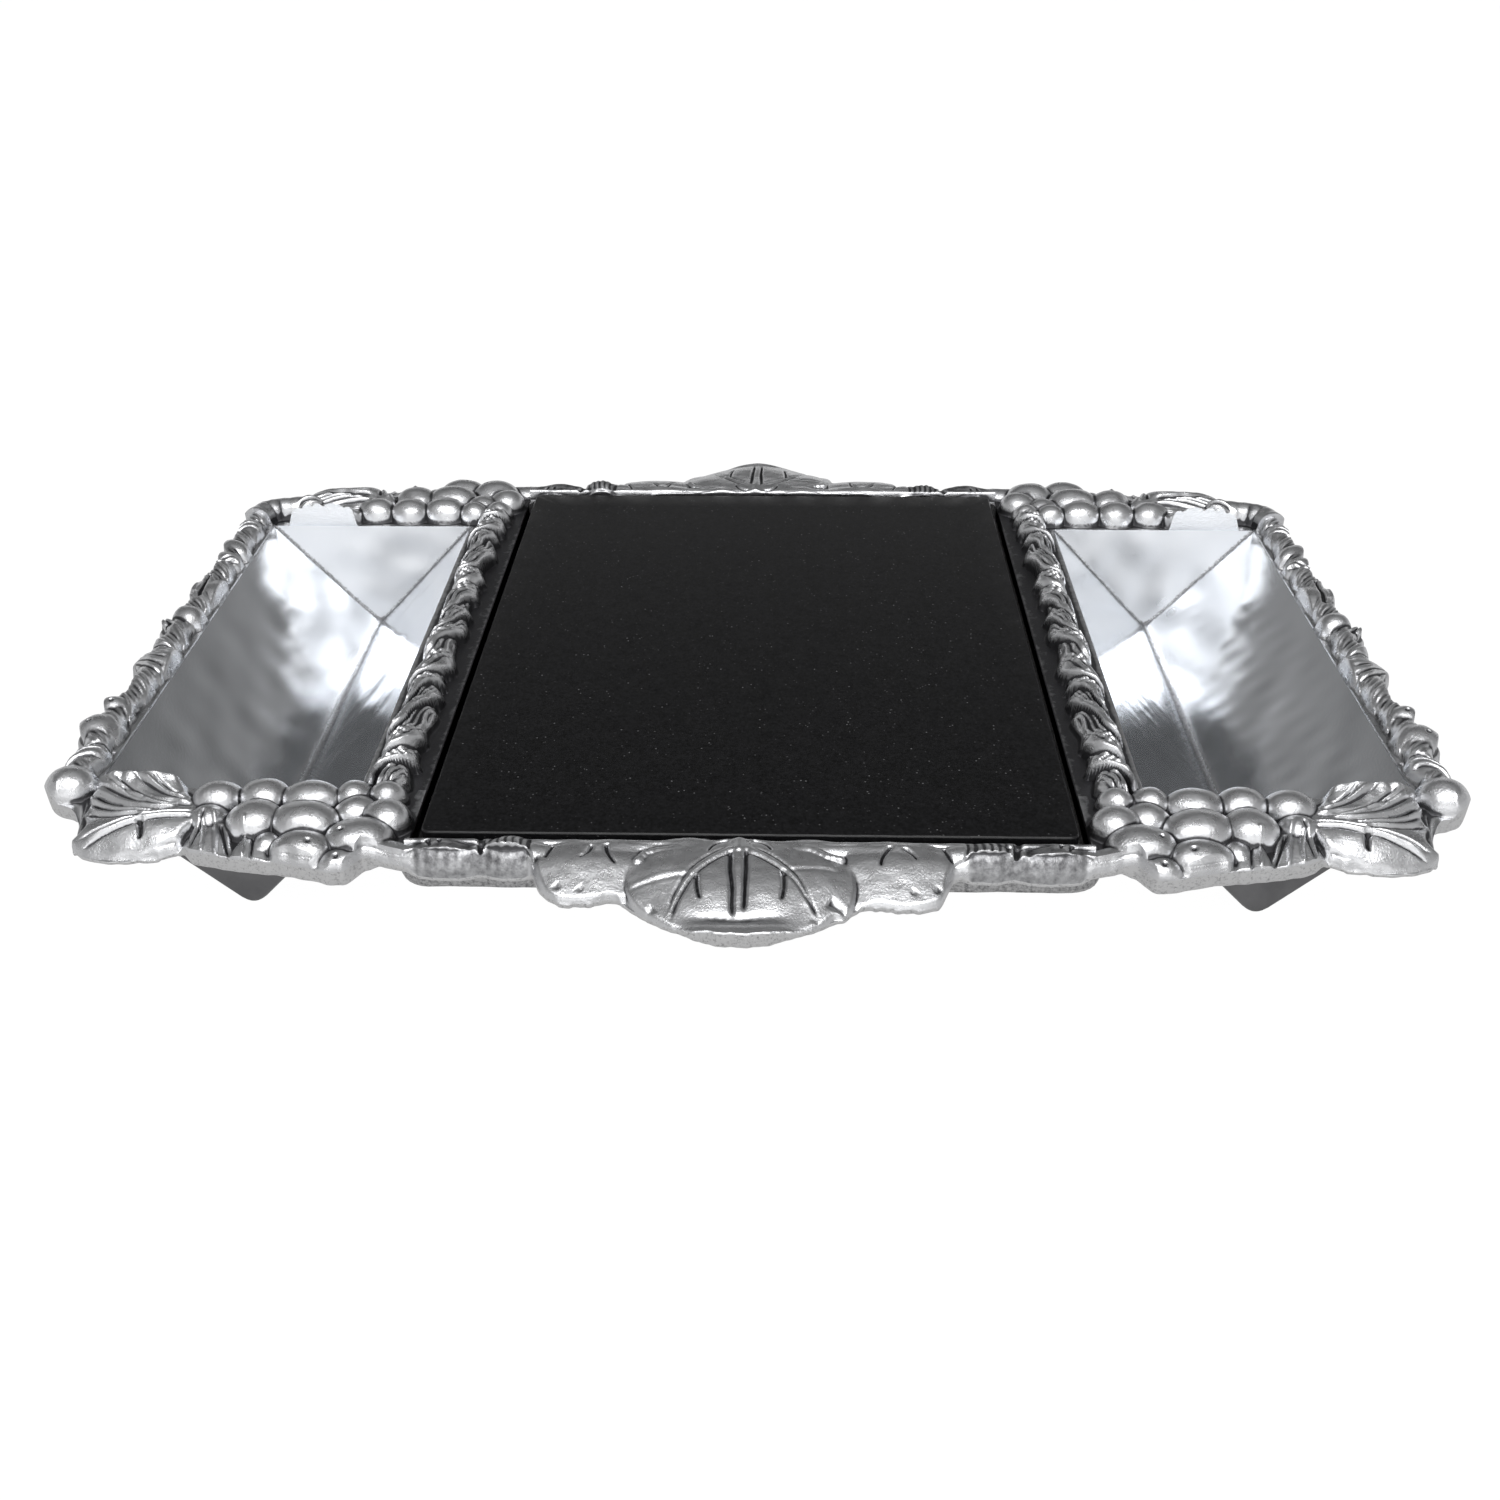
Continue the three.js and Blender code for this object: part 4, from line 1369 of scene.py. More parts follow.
@dataclass
class SideVine:
    """Outer rim of a trough: a smooth stem that carries grapes, buds and small leaves."""

    side: Side
    outline: Points = (
        (-100.05, 228.6), (-97.0, 228.0), (-92.6, 226.2), (-87.0, 225.5), (-80.0, 226.6), (-75.0, 229.9),
        (-71.0, 231.1), (-67.0, 229.9), (-63.8, 226.6), (-62.4, 226.2), (-60.0, 227.4), (-57.0, 228.2),
        (-54.0, 227.2), (-51.4, 224.2), (-45.0, 223.9), (-38.0, 224.1), (-34.0, 225.0), (-30.0, 227.2),
        (-25.0, 229.8), (-20.4, 230.9), (-16.0, 229.0), (-12.0, 225.6), (-8.0, 224.2), (-3.0, 225.0),
        (0.0, 228.4), (2.6, 229.6), (5.5, 228.4), (9.0, 225.6), (15.0, 224.3), (20.0, 224.8),
        (25.0, 226.4), (32.0, 227.2), (40.0, 226.0), (46.0, 224.2), (50.0, 224.4), (54.0, 224.8),
        (58.0, 225.6), (62.6, 224.8), (68.0, 226.6), (74.0, 224.8), (80.0, 224.6), (87.0, 225.8),
        (94.0, 225.4), (100.05, 225.4))
    ground: float = 46.5
    foot: float = 40.0
    rows: int = 640
    cols: int = 56

    @staticmethod
    def stem(sign: float) -> Vine:
        """Smooth stem along the rim, swaying slightly, for the half of the tray with that sign of y."""
        path = (
            (221.4, -104.0), (220.4, -85.0), (220.8, -60.0), (219.8, -40.0), (220.2, -15.0),
            (220.6, 10.0), (220.0, 40.0), (220.2, 70.0), (220.5, 104.0))
        return Vine(tuple((u, sign * y) for u, y in path), 5.0, 2.9, knots=7.0, swell=0.08, turns=8.0,
                    lobe=0.09, bark=0.16, shift=0.4, hand=sign)

    @staticmethod
    def bud(sign: float) -> Grape:
        """Bud wound on the stem near the front corner."""
        return Grape(220.2, sign * -89.5, 8.2, 5.3, 3.9, 1.5708 + sign * 0.45, high=5.6)

    @staticmethod
    def ball(sign: float) -> Grape:
        """Round ball on the front corner."""
        return Grape(220.6, sign * -101.6, 8.0, 7.6, 4.6, sign * -0.3, high=8.0)

    def relief(self) -> Relief:
        """Stem, grapes, buds and leaves, in order from the front corner to the back one.

        Returns:
            The side's ornament, with v along the tray.
        """
        relief = Relief(0.7)
        front_leaf = ((214.6, -36.0), (218.0, -37.4), (223.0, -33.6), (228.0, -26.6), (231.2, -20.4),
                      (227.6, -15.0), (221.0, -11.6), (215.6, -13.0), (214.0, -22.0), (214.0, -30.0))
        back_leaf = ((215.2, 18.0), (219.0, 16.8), (224.0, 21.0), (227.4, 29.0), (226.6, 38.0),
                     (222.0, 45.4), (217.2, 46.4), (214.8, 40.0), (214.4, 28.0))
        relief.forms += [
            self.stem(1.0), self.bud(1.0), self.ball(1.0),
            Grape(223.2, -71.0, 8.0, 7.8, 5.0, 0.2, high=7.8, pit=(0.2, -0.15)),
            Grape(223.0, -57.0, 5.2, 5.0, 4.2, 0.2, high=5.2, pit=(0.0, -0.1)),
            LeafSheet(front_leaf, (220.0, -24.0), 3.2, (-0.18, 0.0), 4.0),
            Grape(225.6, 2.6, 4.6, 3.4, 2.6, 0.5, high=4.4), Grape(219.5, 9.0, 6.4, 5.6, 4.6, 0.4, high=5.8),
            LeafSheet(back_leaf, (220.4, 31.0), 3.2, (-0.1, 0.0), 3.0),
            Grape(219.8, 58.0, 6.4, 4.3, 3.9, 0.6, high=4.8),
            Grape(220.2, 68.0, 7.4, 4.8, 4.4, 0.6, high=5.2),
            Grape(220.2, 87.0, 9.4, 5.4, 3.8, 1.5, high=5.4)]
        for y in (-94.0, -89.5, -85.5, 50.0, 53.0, 81.5, 86.0, 90.5):
            relief.strokes.append(Stroke(214.6, y + 5.0, 226.6, y - 5.0, 0.7, -1.2, 1.6, 0.1))
        for k in range(5):
            vein = (215.6, -34.0 + 4.2 * k, 229.0, -23.0 + 2.2 * k, 0.7, -1.1, -1.0, 0.2)
            relief.strokes.append(Stroke(*vein))
        relief.strokes += strokes(
            (219.4, 22.0, 221.0, 42.0, 1.0, -1.9, -0.8, 0.2), (222.6, 22.0, 224.6, 36.0, 0.7, 0.6, -0.8),
            (222.0, -1.0, 228.0, 5.6, 0.6, -1.0))
        return relief

    def build(self, finish: Material) -> None:
        """Sample the relief from the trough's edge to the outline, rows along y.

        Args:
            finish: the rim's material.
        """
        inner = LAYOUT.trough_out
        y = np.linspace(self.outline[0][0], self.outline[-1][0], self.rows)
        outer = smooth_line(self.outline, y)[:, None]
        u = inner + (outer - inner) * np.linspace(0.0, 1.0, self.cols)[None, :]
        y = y[:, None] + 0.0 * u
        sway = 0.3 * waver(u, y, 19.0, 2.2 + self.side.value) * smooth_step(100.0, 94.0, np.abs(y))
        sway = sway * smooth_step(inner, inner + 4.0, u)
        ground = self.ground - 2.4 * smooth_step(4.0, 0.0, outer - u)
        top = self.relief().height(u + sway, y + sway, ground)
        bare = 0.6 * smooth_step(1.0, 0.15, top - ground)
        top = np.minimum(top, edge_round(u - inner, LAYOUT.plate_top - 0.5, 0.8))
        top = np.minimum(top, edge_round(outer - u, LAYOUT.plate_top - 2.4, 3.0))
        zero = np.zeros(self.rows)
        # The ledge at the trough's lip is buffed and takes no patina or painted shade; the rest takes both.
        ledge = smooth_step(4.6, 2.2, u - inner)
        cut = RimEdge(zero + 0.45, zero + self.foot, zero, bare, draft=1.2, patina_and_shade=0.54 - 1.4 * ledge)
        dress_casting(relief_piece(f"side_vine_{self.side.word}", self.side.value * u, y, top, cut), finish)


@dataclass
class LeafHandle:
    """Front or back rail: a knotted vine with a broad leaf to lift by and two side leaves."""

    end: End
    outline: Points = (
        (-105.0, 138.0), (-99.0, 139.6), (-91.0, 140.6), (-85.0, 139.9), (-81.4, 138.7), (-76.0, 140.2),
        (-70.0, 140.2), (-66.6, 139.8), (-64.6, 141.4), (-63.4, 145.0), (-61.0, 148.7), (-57.0, 152.3),
        (-51.0, 153.3), (-44.0, 152.5), (-39.6, 151.4), (-37.2, 152.4), (-35.0, 154.6), (-32.6, 156.6),
        (-27.0, 161.0), (-20.0, 164.9), (-13.0, 167.4), (-5.0, 168.6), (3.0, 168.4), (11.0, 167.0),
        (18.0, 164.6), (23.0, 161.8), (25.8, 159.8), (28.8, 158.8), (31.4, 155.6), (34.0, 153.8),
        (38.0, 153.6), (46.0, 154.6), (53.0, 153.7), (57.6, 151.2), (59.6, 146.0), (61.6, 141.6),
        (65.0, 139.8), (70.0, 139.9), (76.0, 139.8), (81.0, 138.6), (85.0, 139.9), (91.0, 140.6),
        (99.0, 139.6), (105.0, 138.0))
    left_leaf: Points = (
        (-33.0, 133.0), (-45.0, 132.0), (-55.0, 131.5), (-62.0, 133.5), (-64.0, 138.0), (-63.5, 143.0),
        (-61.0, 148.5), (-57.0, 152.2), (-51.0, 153.2), (-44.0, 152.4), (-37.0, 152.2), (-33.0, 150.0))
    right_leaf: Points = (
        (30.0, 133.0), (42.0, 132.0), (54.0, 131.5), (60.0, 134.0), (61.5, 139.0), (59.5, 145.0),
        (58.0, 151.0), (53.0, 153.6), (46.0, 154.6), (38.0, 153.4), (31.0, 153.5))
    ground: float = 45.4
    edge: float = 44.6
    foot: float = 39.8
    rows: int = 560
    cols: int = 110

    def blade(self) -> BroadLeaf:
        """Broad leaf of the handle, whose tip turns up at the back only."""
        return BroadLeaf(tip_lift=4.0 if self.end is End.BACK else 0.0)

    def relief(self) -> Relief:
        """Rails, bead at the slab, side leaves and curls, then the broad leaf with its veins.

        Returns:
            The rail's ornament, with v out from the middle of the tray.
        """
        relief = Relief(0.8)
        bead = tuple((float(u), 131.5) for u in np.linspace(-112.0, 112.0, 5))
        left_curl = ((-33.0, 140.0), (-31.0, 136.5), (-27.0, 134.8), (-21.0, 134.6))
        right_curl = ((14.0, 134.0), (19.0, 134.6), (24.0, 137.5), (28.0, 138.5))
        relief.forms += [
            rail_vine(-1.0), rail_vine(1.0), Vine(bead, 1.1, 0.6, knots=0.0, swell=0.0, lobe=0.0, bark=0.0),
            SideLeaf(self.left_leaf, -48.0), SideLeaf(self.right_leaf, 46.0), self.blade(),
            Vine(left_curl, 1.5, 0.7, knots=0.0, lobe=0.0, bark=0.0),
            Vine(right_curl, 1.5, 0.9, knots=0.0, lobe=0.0, bark=0.0)]
        relief.strokes += self.veins() + strokes(
            (-19.0, 161.2, 14.0, 160.8, 1.5, -0.75, 1.4, 0.0, 0.44),
            (-20.0, 163.6, 16.0, 163.2, 0.8, 0.3, 1.3, 0.0, 0.44), (-27.0, 157.6, -29.0, 159.6, 1.4, -0.5),
            (24.0, 155.0, 29.0, 158.0, 1.6, -1.0), (19.0, 160.6, 21.0, 162.2, 1.2, -0.3),
            (-3.0, 130.0, -2.6, 137.0, 1.6, 0.8, 0.0, 0.2), (-6.0, 131.0, -12.0, 136.5, 0.8, -1.2, 1.4),
            (1.0, 131.0, 7.0, 136.0, 0.8, -1.2, -1.4))
        for s in (-1.0, 1.0):
            relief.forms += [Grape(s * 92.0, 135.4, 11.4, 6.6, 1.2, s * -0.05, high=7.4),
                             Grape(s * 73.0, 135.4, 8.9, 7.2, 2.5 - 0.7 * s, s * 0.16, high=7.8)]
            relief.strokes += self.rail_marks(s)
        return relief

    @staticmethod
    def rail_marks(s: float) -> List[Stroke]:
        """Grooves of one half of the rail: a fan on the knot, a cut beside it, dents on the side leaf.

        Args:
            s: sign of x.

        Returns:
            The grooves.
        """
        fan = [Stroke(s * (66.5 + 2.3 * k), 131.0, s * (64.0 + 2.5 * k), 139.6, 0.55, -0.5 + 0.12 * (k % 3),
                      s * -0.9, 0.1) for k in range(7)]
        return fan + strokes(
            (s * 82.2, 130.4, s * 81.2, 139.4, 1.0, -1.2, s * 0.6, 0.0),
            (s * 59.0, 133.5, s * 61.0, 139.0, 0.7, -0.9),
            (s * 43.0, 133.6, s * 39.8, 141.5, 0.8, -1.2, 0.8),
            (s * 57.0, 148.4, s * 55.6, 149.8, 1.3, -0.45), (s * 50.0, 149.4, s * 48.6, 150.6, 1.2, -0.4),
            (s * 47.0, 134.2, s * 50.5, 139.4, 0.7, -0.9, -0.6),
            (s * 98.0, 131.6, s * 96.5, 135.0, 0.7, -0.8), (s * 94.5, 131.6, s * 94.0, 134.0, 0.6, -0.7))

    @staticmethod
    def veins() -> List[Stroke]:
        """Raised main veins with a dark line below each, branches, and grooves beside the midrib.

        Returns:
            The ribs and grooves of the broad leaf.
        """
        lines = []
        for u0, v0, u1, v1, bow in ((-4.5, 135.0, -22.6, 160.8, 3.2), (-0.4, 135.0, 19.9, 160.2, -2.8)):
            lines += strokes((u0, v0, u1, v1, 1.0, 0.22, bow, 0.4),
                             (u0, v0 + 2.2, u1 + 1.0, v1 + 0.6, 0.55, -0.7, bow, 0.2),
                             (u0 + (2.2 if u1 > 0.0 else -2.2), v0, u1, v1 - 2.0, 0.5, -0.5, bow, 0.2))
        for u0, v0, u1, v1, bow in ((-16.5, 145.4, -35.0, 149.5, 0.8), (11.6, 143.4, 27.0, 142.8, -0.6)):
            lines += strokes((u0, v0, u1, v1, 1.1, 0.14, bow), (u0, v0 + 1.6, u1, v1 + 1.6, 0.9, -0.2, bow))
        return lines + strokes(
            (-5.2, 137.5, -3.9, 161.0, 0.8, -1.35, 0.0, 0.1),
            (-0.4, 136.5, -0.6, 159.0, 0.8, -1.35, 0.0, 0.3),
            (-14.8, 147.0, -13.6, 155.6, 0.8, -1.1, 0.5, 0.4),
            (10.6, 145.0, 10.2, 155.6, 0.8, -1.1, -0.5, 0.4))

    def build(self, finish: Material) -> None:
        """Sample the relief from the slab's recess to the outline, rows along x.

        The leaf's tip has a full cast face; the leaf's flanks and the side leaves are thin.

        Args:
            finish: the rim's material.
        """
        start = LAYOUT.recess_half_depth - 0.9
        u = np.linspace(-LAYOUT.recess_half_width, LAYOUT.recess_half_width, self.rows)
        away = np.abs(u)
        ragged = 0.25 * waver(u, 0.0 * u, 8.0, 1.1 + self.end.value) * smooth_step(105.0, 100.0, away)
        outer = smooth_line(self.outline, u) + ragged
        v = start + (outer - start)[:, None] * np.linspace(0.0, 1.0, self.cols)[None, :]
        # Shares of the tip, the broad leaf, the side leaves and the plain rails.
        tip = smooth_step(-26.0, -9.0, u) * smooth_step(23.0, 5.0, u)
        leaf = smooth_step(-38.0, -34.0, u) * smooth_step(34.0, 30.0, u)
        side = smooth_step(66.0, 60.0, away)
        rail = smooth_step(64.0, 68.0, away) * smooth_step(105.0, 100.0, away)
        edge = self.edge - 1.3 * side - 0.5 * leaf + 2.2 * tip - 2.6 * rail + self.blade().tip(u)
        reach = (2.8 + 3.6 * rail)[:, None]
        thin = 0.5 + 0.3 * leaf - 0.8 * tip
        u = u[:, None] + 0.0 * v
        sway = 0.2 * waver(u, v, 24.0, 0.4 + self.end.value) * smooth_step(105.0, 98.0, np.abs(u))
        inset = outer[:, None] - v
        ground = self.ground - 2.6 * (side * (1.0 - tip))[:, None] * smooth_step(9.0, 0.0, inset)
        top = self.relief().height(u + sway, v - sway, ground)
        bare = smooth_step(1.0, 0.15, top - ground) * (1.0 - leaf)[:, None]
        top = np.minimum(top, edge_round(inset, edge[:, None], reach))
        top = np.minimum(top, edge_round(v - start, LAYOUT.slab_top - 0.4, 1.0))
        # Painted shade on the front inner wall, in the gap at the slab; patina and painted shade on the
        # rails.
        cut = RimEdge(thin, self.foot - 0.6 * tip, 0.0 * thin, bare, draft=1.0,
                      wall_shade=0.2 if self.end is End.BACK else 1.0, patina_and_shade=0.8 * rail[:, None])
        dress_casting(relief_piece(f"leaf_handle_{self.end.word}", u, self.end.value * v, top, cut), finish)


@dataclass
class CrackerTrough:
    """One trough for crackers: a V-shaped shell with steep triangular ends and a keel flat to stand on."""

    side: Side
    half_width: float = 43.0
    valley: float = 4.6
    valley_round: float = 1.6
    slope: float = 0.997
    end_half: float = 91.0
    keel_half: float = 102.0
    outside: Tuple[float, ...] = (44.0, 40.0, 34.0, 28.0, 22.0, 16.0, 10.0, 5.0, 2.0, 0.7, 0.15, 0.0, 0.0)
    keel_width: Tuple[float, ...] = (0.2, -0.1, -0.6, -2.6)
    keel_length: Tuple[float, ...] = (-0.2, -0.5, -1.0, -3.0)
    levels: int = 84

    def inner(self, a: Array) -> Array:
        """Height of the inside at half width a: a V whose foot is a hyperbola."""
        return self.valley + self.slope * (np.hypot(a, self.valley_round) - self.valley_round)

    def build(self, finish: Material) -> None:
        """Carry the section round a rectangle that narrows to the keel line.

        The levels run up the inside from the valley to the lip, over the lip under the rim, and
        down the outside to the keel flat. Inside walls wander slightly, as polished by hand.

        Args:
            finish: the trough's material.
        """
        a_in = self.half_width * np.linspace(0.0, 1.0, self.levels) ** 1.15
        z_in = self.inner(a_in)
        b_in = self.end_half + LAYOUT.end_lean * (z_in - self.valley)
        z_out = np.array(self.outside)
        plain = len(self.outside) - len(self.keel_width)
        a_out = 2.6 + 0.958 * z_out + np.array((0.4,) * plain + self.keel_width)
        b_out = self.keel_half + 0.045 * z_out + np.array((0.0,) * plain + self.keel_length)
        half_width = np.concatenate([a_in, a_out])
        half_length = np.concatenate([b_in, b_out])
        under = np.concatenate([np.zeros(self.levels), np.ones(len(z_out))])
        corner = np.minimum(np.where(under > 0.5, 2.6, 0.9), half_width * 0.9)
        x, y = ring(half_width, half_length, corner, 90, 150, 7)
        z = np.concatenate([z_in, z_out])[:, None] + 0.0 * x
        half_width, half_length, under = half_width[:, None], half_length[:, None], under[:, None]
        inside = (1.0 - under) * np.sin(math.pi * np.clip(half_width / self.half_width, 0.0, 1.0))
        seed = 1.4 * self.side.value
        wall = smooth_step(0.0, 6.0, half_length - np.abs(y))
        z = z + inside * wall * (0.30 * waver(x, y, 62.0, seed) + 0.08 * waver(x, y, 23.0, seed + 1.0))
        y = y + inside * (1.0 - wall) * np.sign(y) * 0.42 * waver(x, z, 48.0, seed + 2.0)
        near = np.hypot(half_width - np.abs(x), half_length - np.abs(y))
        crease = np.exp(-((near / 1.8) ** 2)) + 0.9 * np.exp(-((half_width / 1.9) ** 2))
        ends = smooth_step(0.9, 0.1, half_length - np.abs(y)) * (1.0 - under)
        values = {"crease": crease * (1.0 - under), "ends": ends, "under": under + 0.0 * x}
        x = x + self.side.value * LAYOUT.trough_middle
        dress_casting(ring_piece(f"cracker_trough_{self.side.word}", x, y, z, values), finish)


@dataclass
class SlabPan:
    """Shallow pan under the slab: a floor with upright walls and rounded corners."""

    corner: float = 6.0
    outside: float = 3.0

    def build(self, finish: Material) -> None:
        """Carry the section round the recess, from the middle of the floor to its underside.

        Args:
            finish: the pan's material.
        """
        w = LAYOUT.recess_half_width
        floor, bottom, top = LAYOUT.pan_floor, LAYOUT.pan_bottom, LAYOUT.plate_top - 1.2
        rows = np.array([
            (-w, floor), (-60.0, floor), (-20.0, floor), (-2.0, floor), (-0.6, floor + 0.5),
            (0.0, floor + 2.0), (0.0, top), (3.6, top), (4.3, 39.0), (4.4, bottom + 2.2),
            (4.0, bottom + 0.9), (2.8, bottom + 0.2), (1.0, bottom), (-20.0, bottom), (-60.0, bottom),
            (-w, bottom)])
        corner = self.corner + np.clip(rows[:, 0], 0.0, None)
        x, y, z = carried(rows, (w, LAYOUT.recess_half_depth), corner, (60, 70, 8))
        outer = (rows[:, 0] > self.outside)[:, None]
        y = y + np.where(outer, 0.25 * waver(x, z, 30.0, 2.0) * np.sign(y), 0.0)
        dress_casting(ring_piece("slab_pan", x, y, z, {}), finish)


@dataclass
class StoneSlab:
    """Black stone slab with a fine arris, which lifts straight out of its recess."""

    arris: float = 0.5
    corner: float = 3.0
    least_corner: float = 0.6
    chip: float = 0.04
    crisp: float = 25.0

    def build(self, finish: Material) -> None:
        """Carry the section round the slab, from the middle of its top to that of its underside.

        The third number of each row of the section says how far it belongs to the arris.

        Args:
            finish: the stone's material.
        """
        w, c = LAYOUT.slab_half_width, self.arris
        top, low = LAYOUT.slab_top, LAYOUT.slab_bottom
        rows = np.array([
            (-w, top, 0), (-70.0, top, 0), (-35.0, top, 0), (-12.0, top, 0), (-c - 0.25, top, 0),
            (-c, top - 0.05, 1), (-c * 0.5, top - c * 0.52, 1), (-0.05, top - c, 1),
            (0.0, top - c - 0.25, 0.3), (0.0, low + c + 0.2, 0), (-c, low, 0), (-12.0, low, 0),
            (-70.0, low, 0), (-w, low, 0)])
        corner = np.clip(self.corner + rows[:, 0], self.least_corner, None)
        x, y, z = carried(rows, (w, LAYOUT.slab_half_depth), corner, (80, 100, 7))
        edge = rows[:, 2][:, None] + 0.0 * x
        z = z + edge * self.chip * waver(x, y, 6.0, 0.3)
        piece = ring_piece("black_stone_slab", x, y, z, {"arris": edge}, self.crisp)
        dress(piece, finish, "slab", "stone_slab")


@dataclass
class BumperPads:
    """Four domed rubber pads stuck under the slab's corners, so that they lift with it."""

    radius: float = 6.0
    section: Points = (
        (0.02, 1.0), (0.45, 0.985), (0.75, 0.92), (0.92, 0.75), (1.0, 0.45), (1.0, 0.0), (0.02, 0.0))
    segments: int = 32
    crisp: float = 40.0

    def build(self, finish: Material) -> None:
        """Turn the section about each pad's own axis, flat against the slab and domed below.

        Args:
            finish: the pads' material.
        """
        share = np.array(self.section)
        turn = np.linspace(0.0, 2.0 * math.pi, self.segments + 1)[None, :-1]
        for end in End:
            for side in Side:
                node = f"bumper_pad_{end.word}_{side.word}"
                low, high = (np.array(corner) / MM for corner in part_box(node))
                middle, drop = 0.5 * (low + high), LAYOUT.slab_bottom - low[2]
                x = middle[0] + self.radius * share[:, :1] * np.cos(turn)
                y = middle[1] + self.radius * share[:, :1] * np.sin(turn)
                z = LAYOUT.slab_bottom - drop * share[:, 1:] + 0.0 * x
                piece = ring_piece(f"rubber_{node}", x, y, z, {}, self.crisp, capped=True)
                dress(piece, finish, "slab", node)


def set_up(name: str, data: bpy.types.ID, axes: Sequence[Vector], place: Vector) -> bpy.types.Object:
    """Put a lamp or a camera into the scene.

    Args:
        name: its name.
        data: the lamp or camera.
        axes: its right, up and backward directions.
        place: its position in metres.

    Returns:
        The new object.
    """
    thing = bpy.data.objects.new(name, data)
    bpy.context.scene.collection.objects.link(thing)
    matrix = np.eye(4)
    matrix[:3, :3] = np.array(axes).T
    matrix[:3, 3] = place
    thing.matrix_world = Matrix(matrix.tolist())
    return thing


@dataclass(frozen=True)
class Softbox:
    """Soft rectangular lamp: its place and aim in metres, its width and height, its power in watts."""

    name: str
    place: Vector
    size: Point
    power: float
    aim: Vector = (0.0, 0.0, 0.05)

    def build(self) -> None:
        """Hang the lamp with its long side level, facing its aim."""
        light = bpy.data.lights.new(self.name, "AREA")
        light.shape = "RECTANGLE"
        light.size, light.size_y = self.size
        light.energy = self.power
        away = np.array(self.place) - np.array(self.aim)
        away = away / np.linalg.norm(away)
        across = np.cross((0.0, 0.0, 1.0), away)
        across = across / np.linalg.norm(across)
        set_up(self.name, light, (across, np.cross(away, across), away), self.place)


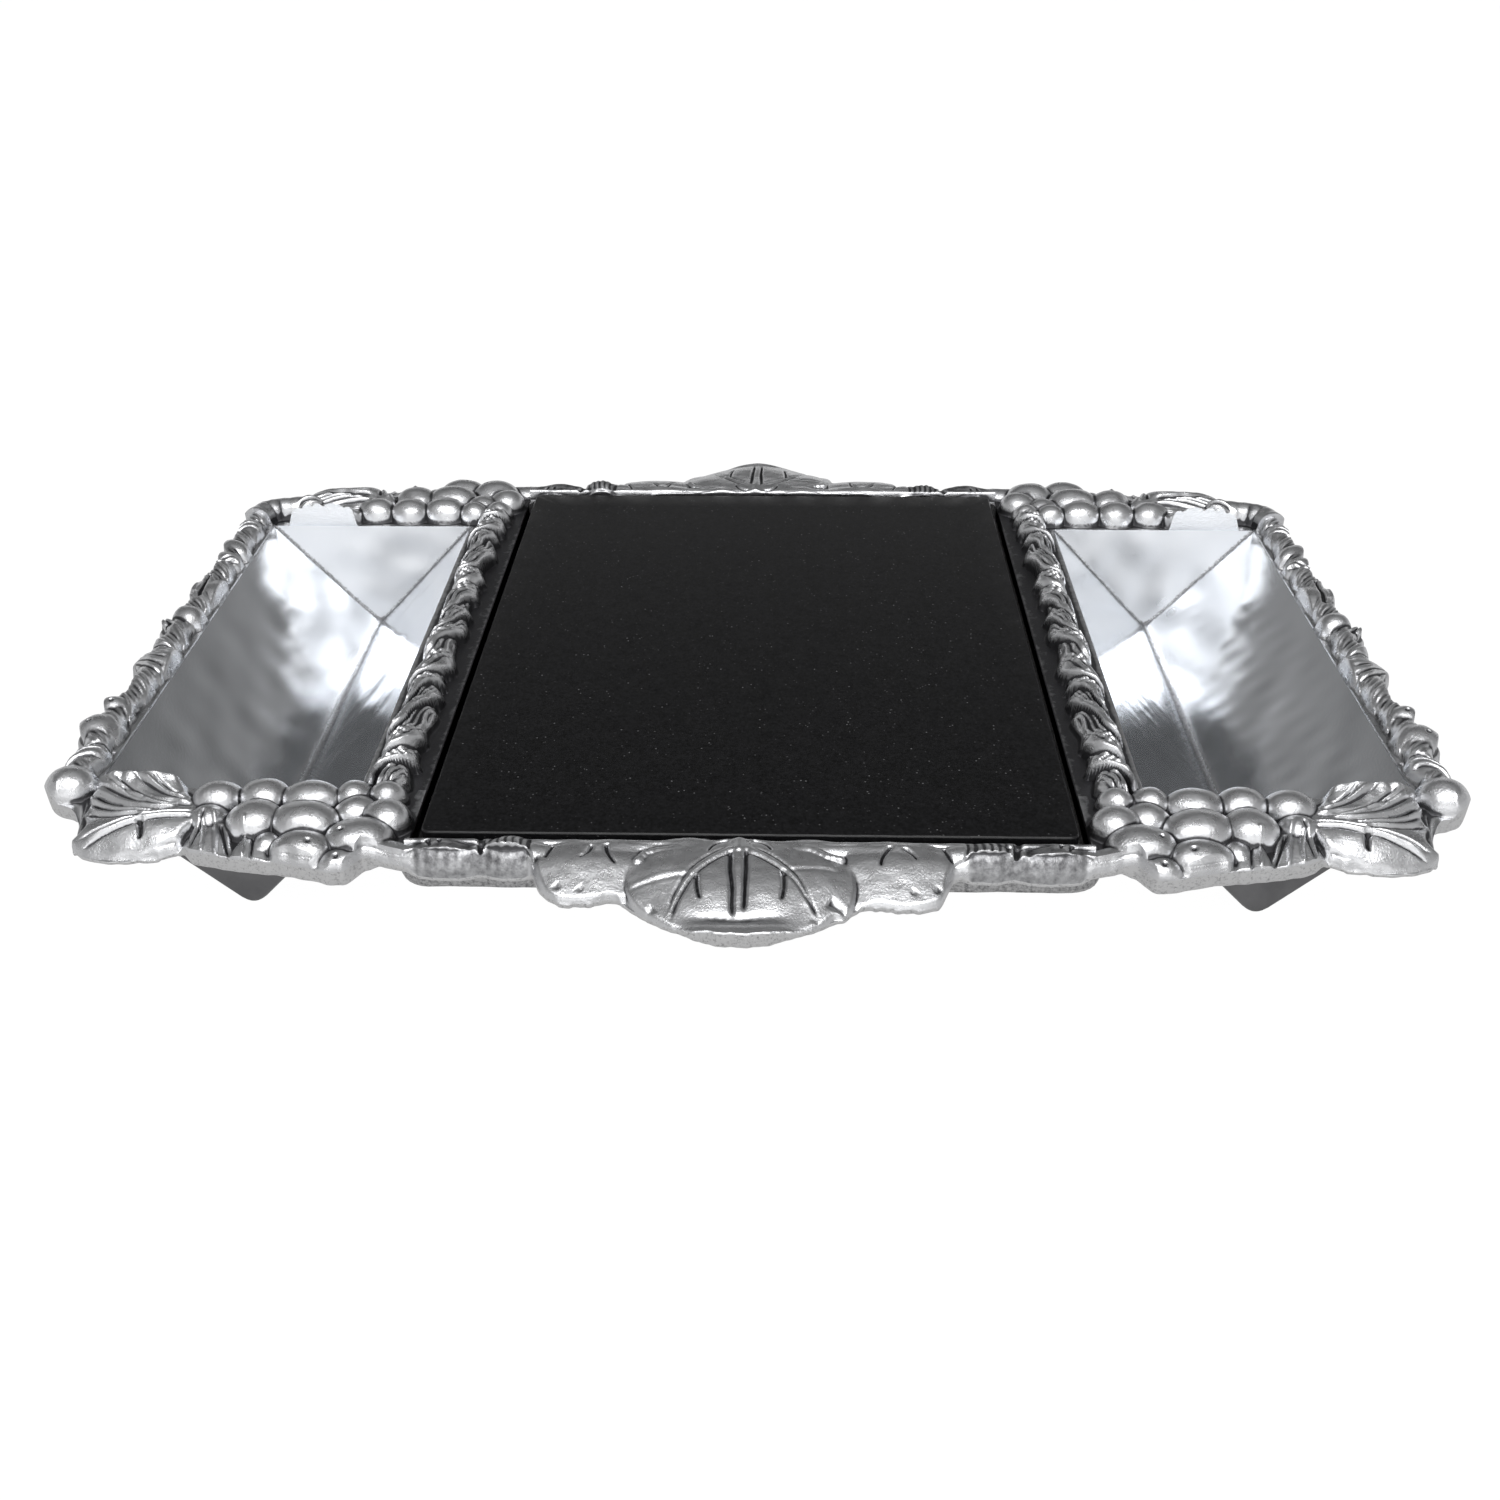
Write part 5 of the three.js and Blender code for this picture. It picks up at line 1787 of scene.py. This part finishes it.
@dataclass
class Studio:
    """Pale floor, soft light and the camera at the photograph's angle."""

    place: Vector = (9.9, -490.37, 321.76)
    forward: Vector = (-0.02139, 0.83302, -0.55282)
    up: Vector = (-0.00848, 0.55278, 0.83329)
    right: Vector = (0.99974, 0.02251, -0.00476)
    focal: float = 1479.3
    image: float = 1500.0
    sensor: float = 36.0
    behind: Points = (
        (0.0, 1.0), (0.08, 0.9), (0.2, 0.45), (0.28, 0.30), (0.34, 0.26), (0.42, 0.14), (0.5, 0.09),
        (0.62, 0.12), (0.85, 0.34), (1.0, 0.42))
    before: Points = ((0.0, 0.8), (0.12, 0.6), (0.3, 0.42), (0.5, 0.46), (0.75, 0.45), (1.0, 0.42))
    lamps: Tuple[Softbox, ...] = (
        Softbox("softbox_front", (0.0, -0.75, 1.35), (1.2, 0.8), 15.0),
        Softbox("fill_front", (0.0, -1.7, 0.5), (2.4, 0.9), 7.0))
    floor_half: float = 4000.0
    floor_height: float = -0.3
    floor_points: int = 9

    def floor(self) -> None:
        """Wide floor, near white to the camera and to polished metal, that keeps the shadow."""
        line = np.linspace(-self.floor_half, self.floor_half, self.floor_points)
        x, y = np.meshgrid(line, line, indexing="ij")
        points = np.stack([x, y, self.floor_height + 0.0 * x], -1).reshape(-1, 3)
        piece = put_mesh("studio_floor", points, grid_faces(*x.shape, False).tolist(), {})
        paint = Paint("pale_floor")
        paint.shader.inputs["Base Color"].default_value = (0.9, 0.9, 0.9, 1.0)
        paint.fix("Roughness", 0.8)
        glow, mix = paint.add("ShaderNodeEmission"), paint.add("ShaderNodeMixShader")
        ray = paint.add("ShaderNodeLightPath")
        camera = ray.outputs["Is Camera Ray"]
        seen = paint.sum(camera, ray.outputs["Is Glossy Ray"], "MAXIMUM")
        paint.link(paint.span(seen, wanted=(0.0, 0.93)), mix.inputs["Fac"])
        paint.link(paint.span(camera, wanted=(0.62, 1.06)), glow.inputs["Strength"])
        paint.link(paint.shader.outputs["BSDF"], mix.inputs[1])
        paint.link(glow.outputs["Emission"], mix.inputs[2])
        paint.link(mix.outputs["Shader"], paint.tree.nodes["Material Output"].inputs["Surface"])
        piece.data.materials.append(paint.material)

    @staticmethod
    def greys(stops: Points) -> List[Tuple[float, Colour]]:
        """Stops of grey from pairs of height and brightness."""
        return [(height, (grey, grey, grey)) for height, grey in stops]

    def sky(self) -> None:
        """Surround: white low down, a dark band high behind, a bright room in front, white to the camera."""
        world = bpy.data.worlds.new("studio_surround")
        bpy.context.scene.world = world
        world.use_nodes = True
        nodes = Nodes(world.node_tree)
        split = nodes.add("ShaderNodeSeparateXYZ")
        nodes.link(nodes.add("ShaderNodeTexCoord").outputs["Generated"], split.inputs["Vector"])
        share = nodes.span(split.outputs["Y"], (-0.3, 0.3))
        before = nodes.ramp(split.outputs["Z"], self.greys(self.before))
        behind = nodes.ramp(split.outputs["Z"], self.greys(self.behind))
        white = nodes.add("ShaderNodeRGB").outputs["Color"]
        white.default_value = (1.0, 1.0, 1.0, 1.0)
        camera = nodes.add("ShaderNodeLightPath").outputs["Is Camera Ray"]
        colour = nodes.blend(camera, nodes.blend(share, before, behind), white)
        nodes.link(colour, nodes.tree.nodes["Background"].inputs["Color"])

    def camera(self) -> None:
        """Camera from the fitted position and axes."""
        data = bpy.data.cameras.new("photo_camera")
        data.sensor_width = self.sensor
        data.lens = self.sensor * self.focal / self.image
        data.clip_start = 0.01
        axes = (self.right, self.up, -np.array(self.forward))
        bpy.context.scene.camera = set_up("photo_camera", data, axes, np.array(self.place) * MM)

    def build(self) -> None:
        """Set up the floor, the light, the camera and the plain view."""
        bpy.context.scene.view_settings.view_transform = "Standard"
        self.floor()
        self.sky()
        for lamp in self.lamps:
            lamp.build()
        self.camera()


def main() -> None:
    """Build the tray piece by piece."""
    logging.basicConfig(level=logging.INFO, format="%(name)s: %(message)s")
    rim = AntiquedShadedCasting().build()
    polish = PolishedTrough().build()
    for side in Side:
        for end in End:
            CornerBunch(side, end).build(rim)
        DividerRope(side).build(rim)
        SideVine(side).build(rim)
        CrackerTrough(side).build(polish)
    for end in End:
        LeafHandle(end).build(rim)
    SlabPan().build(SandCast().build())
    StoneSlab().build(HonedStone().build())
    BumperPads().build(PadRubber().build())
    Studio().build()


if __name__ == "__main__":
    main()
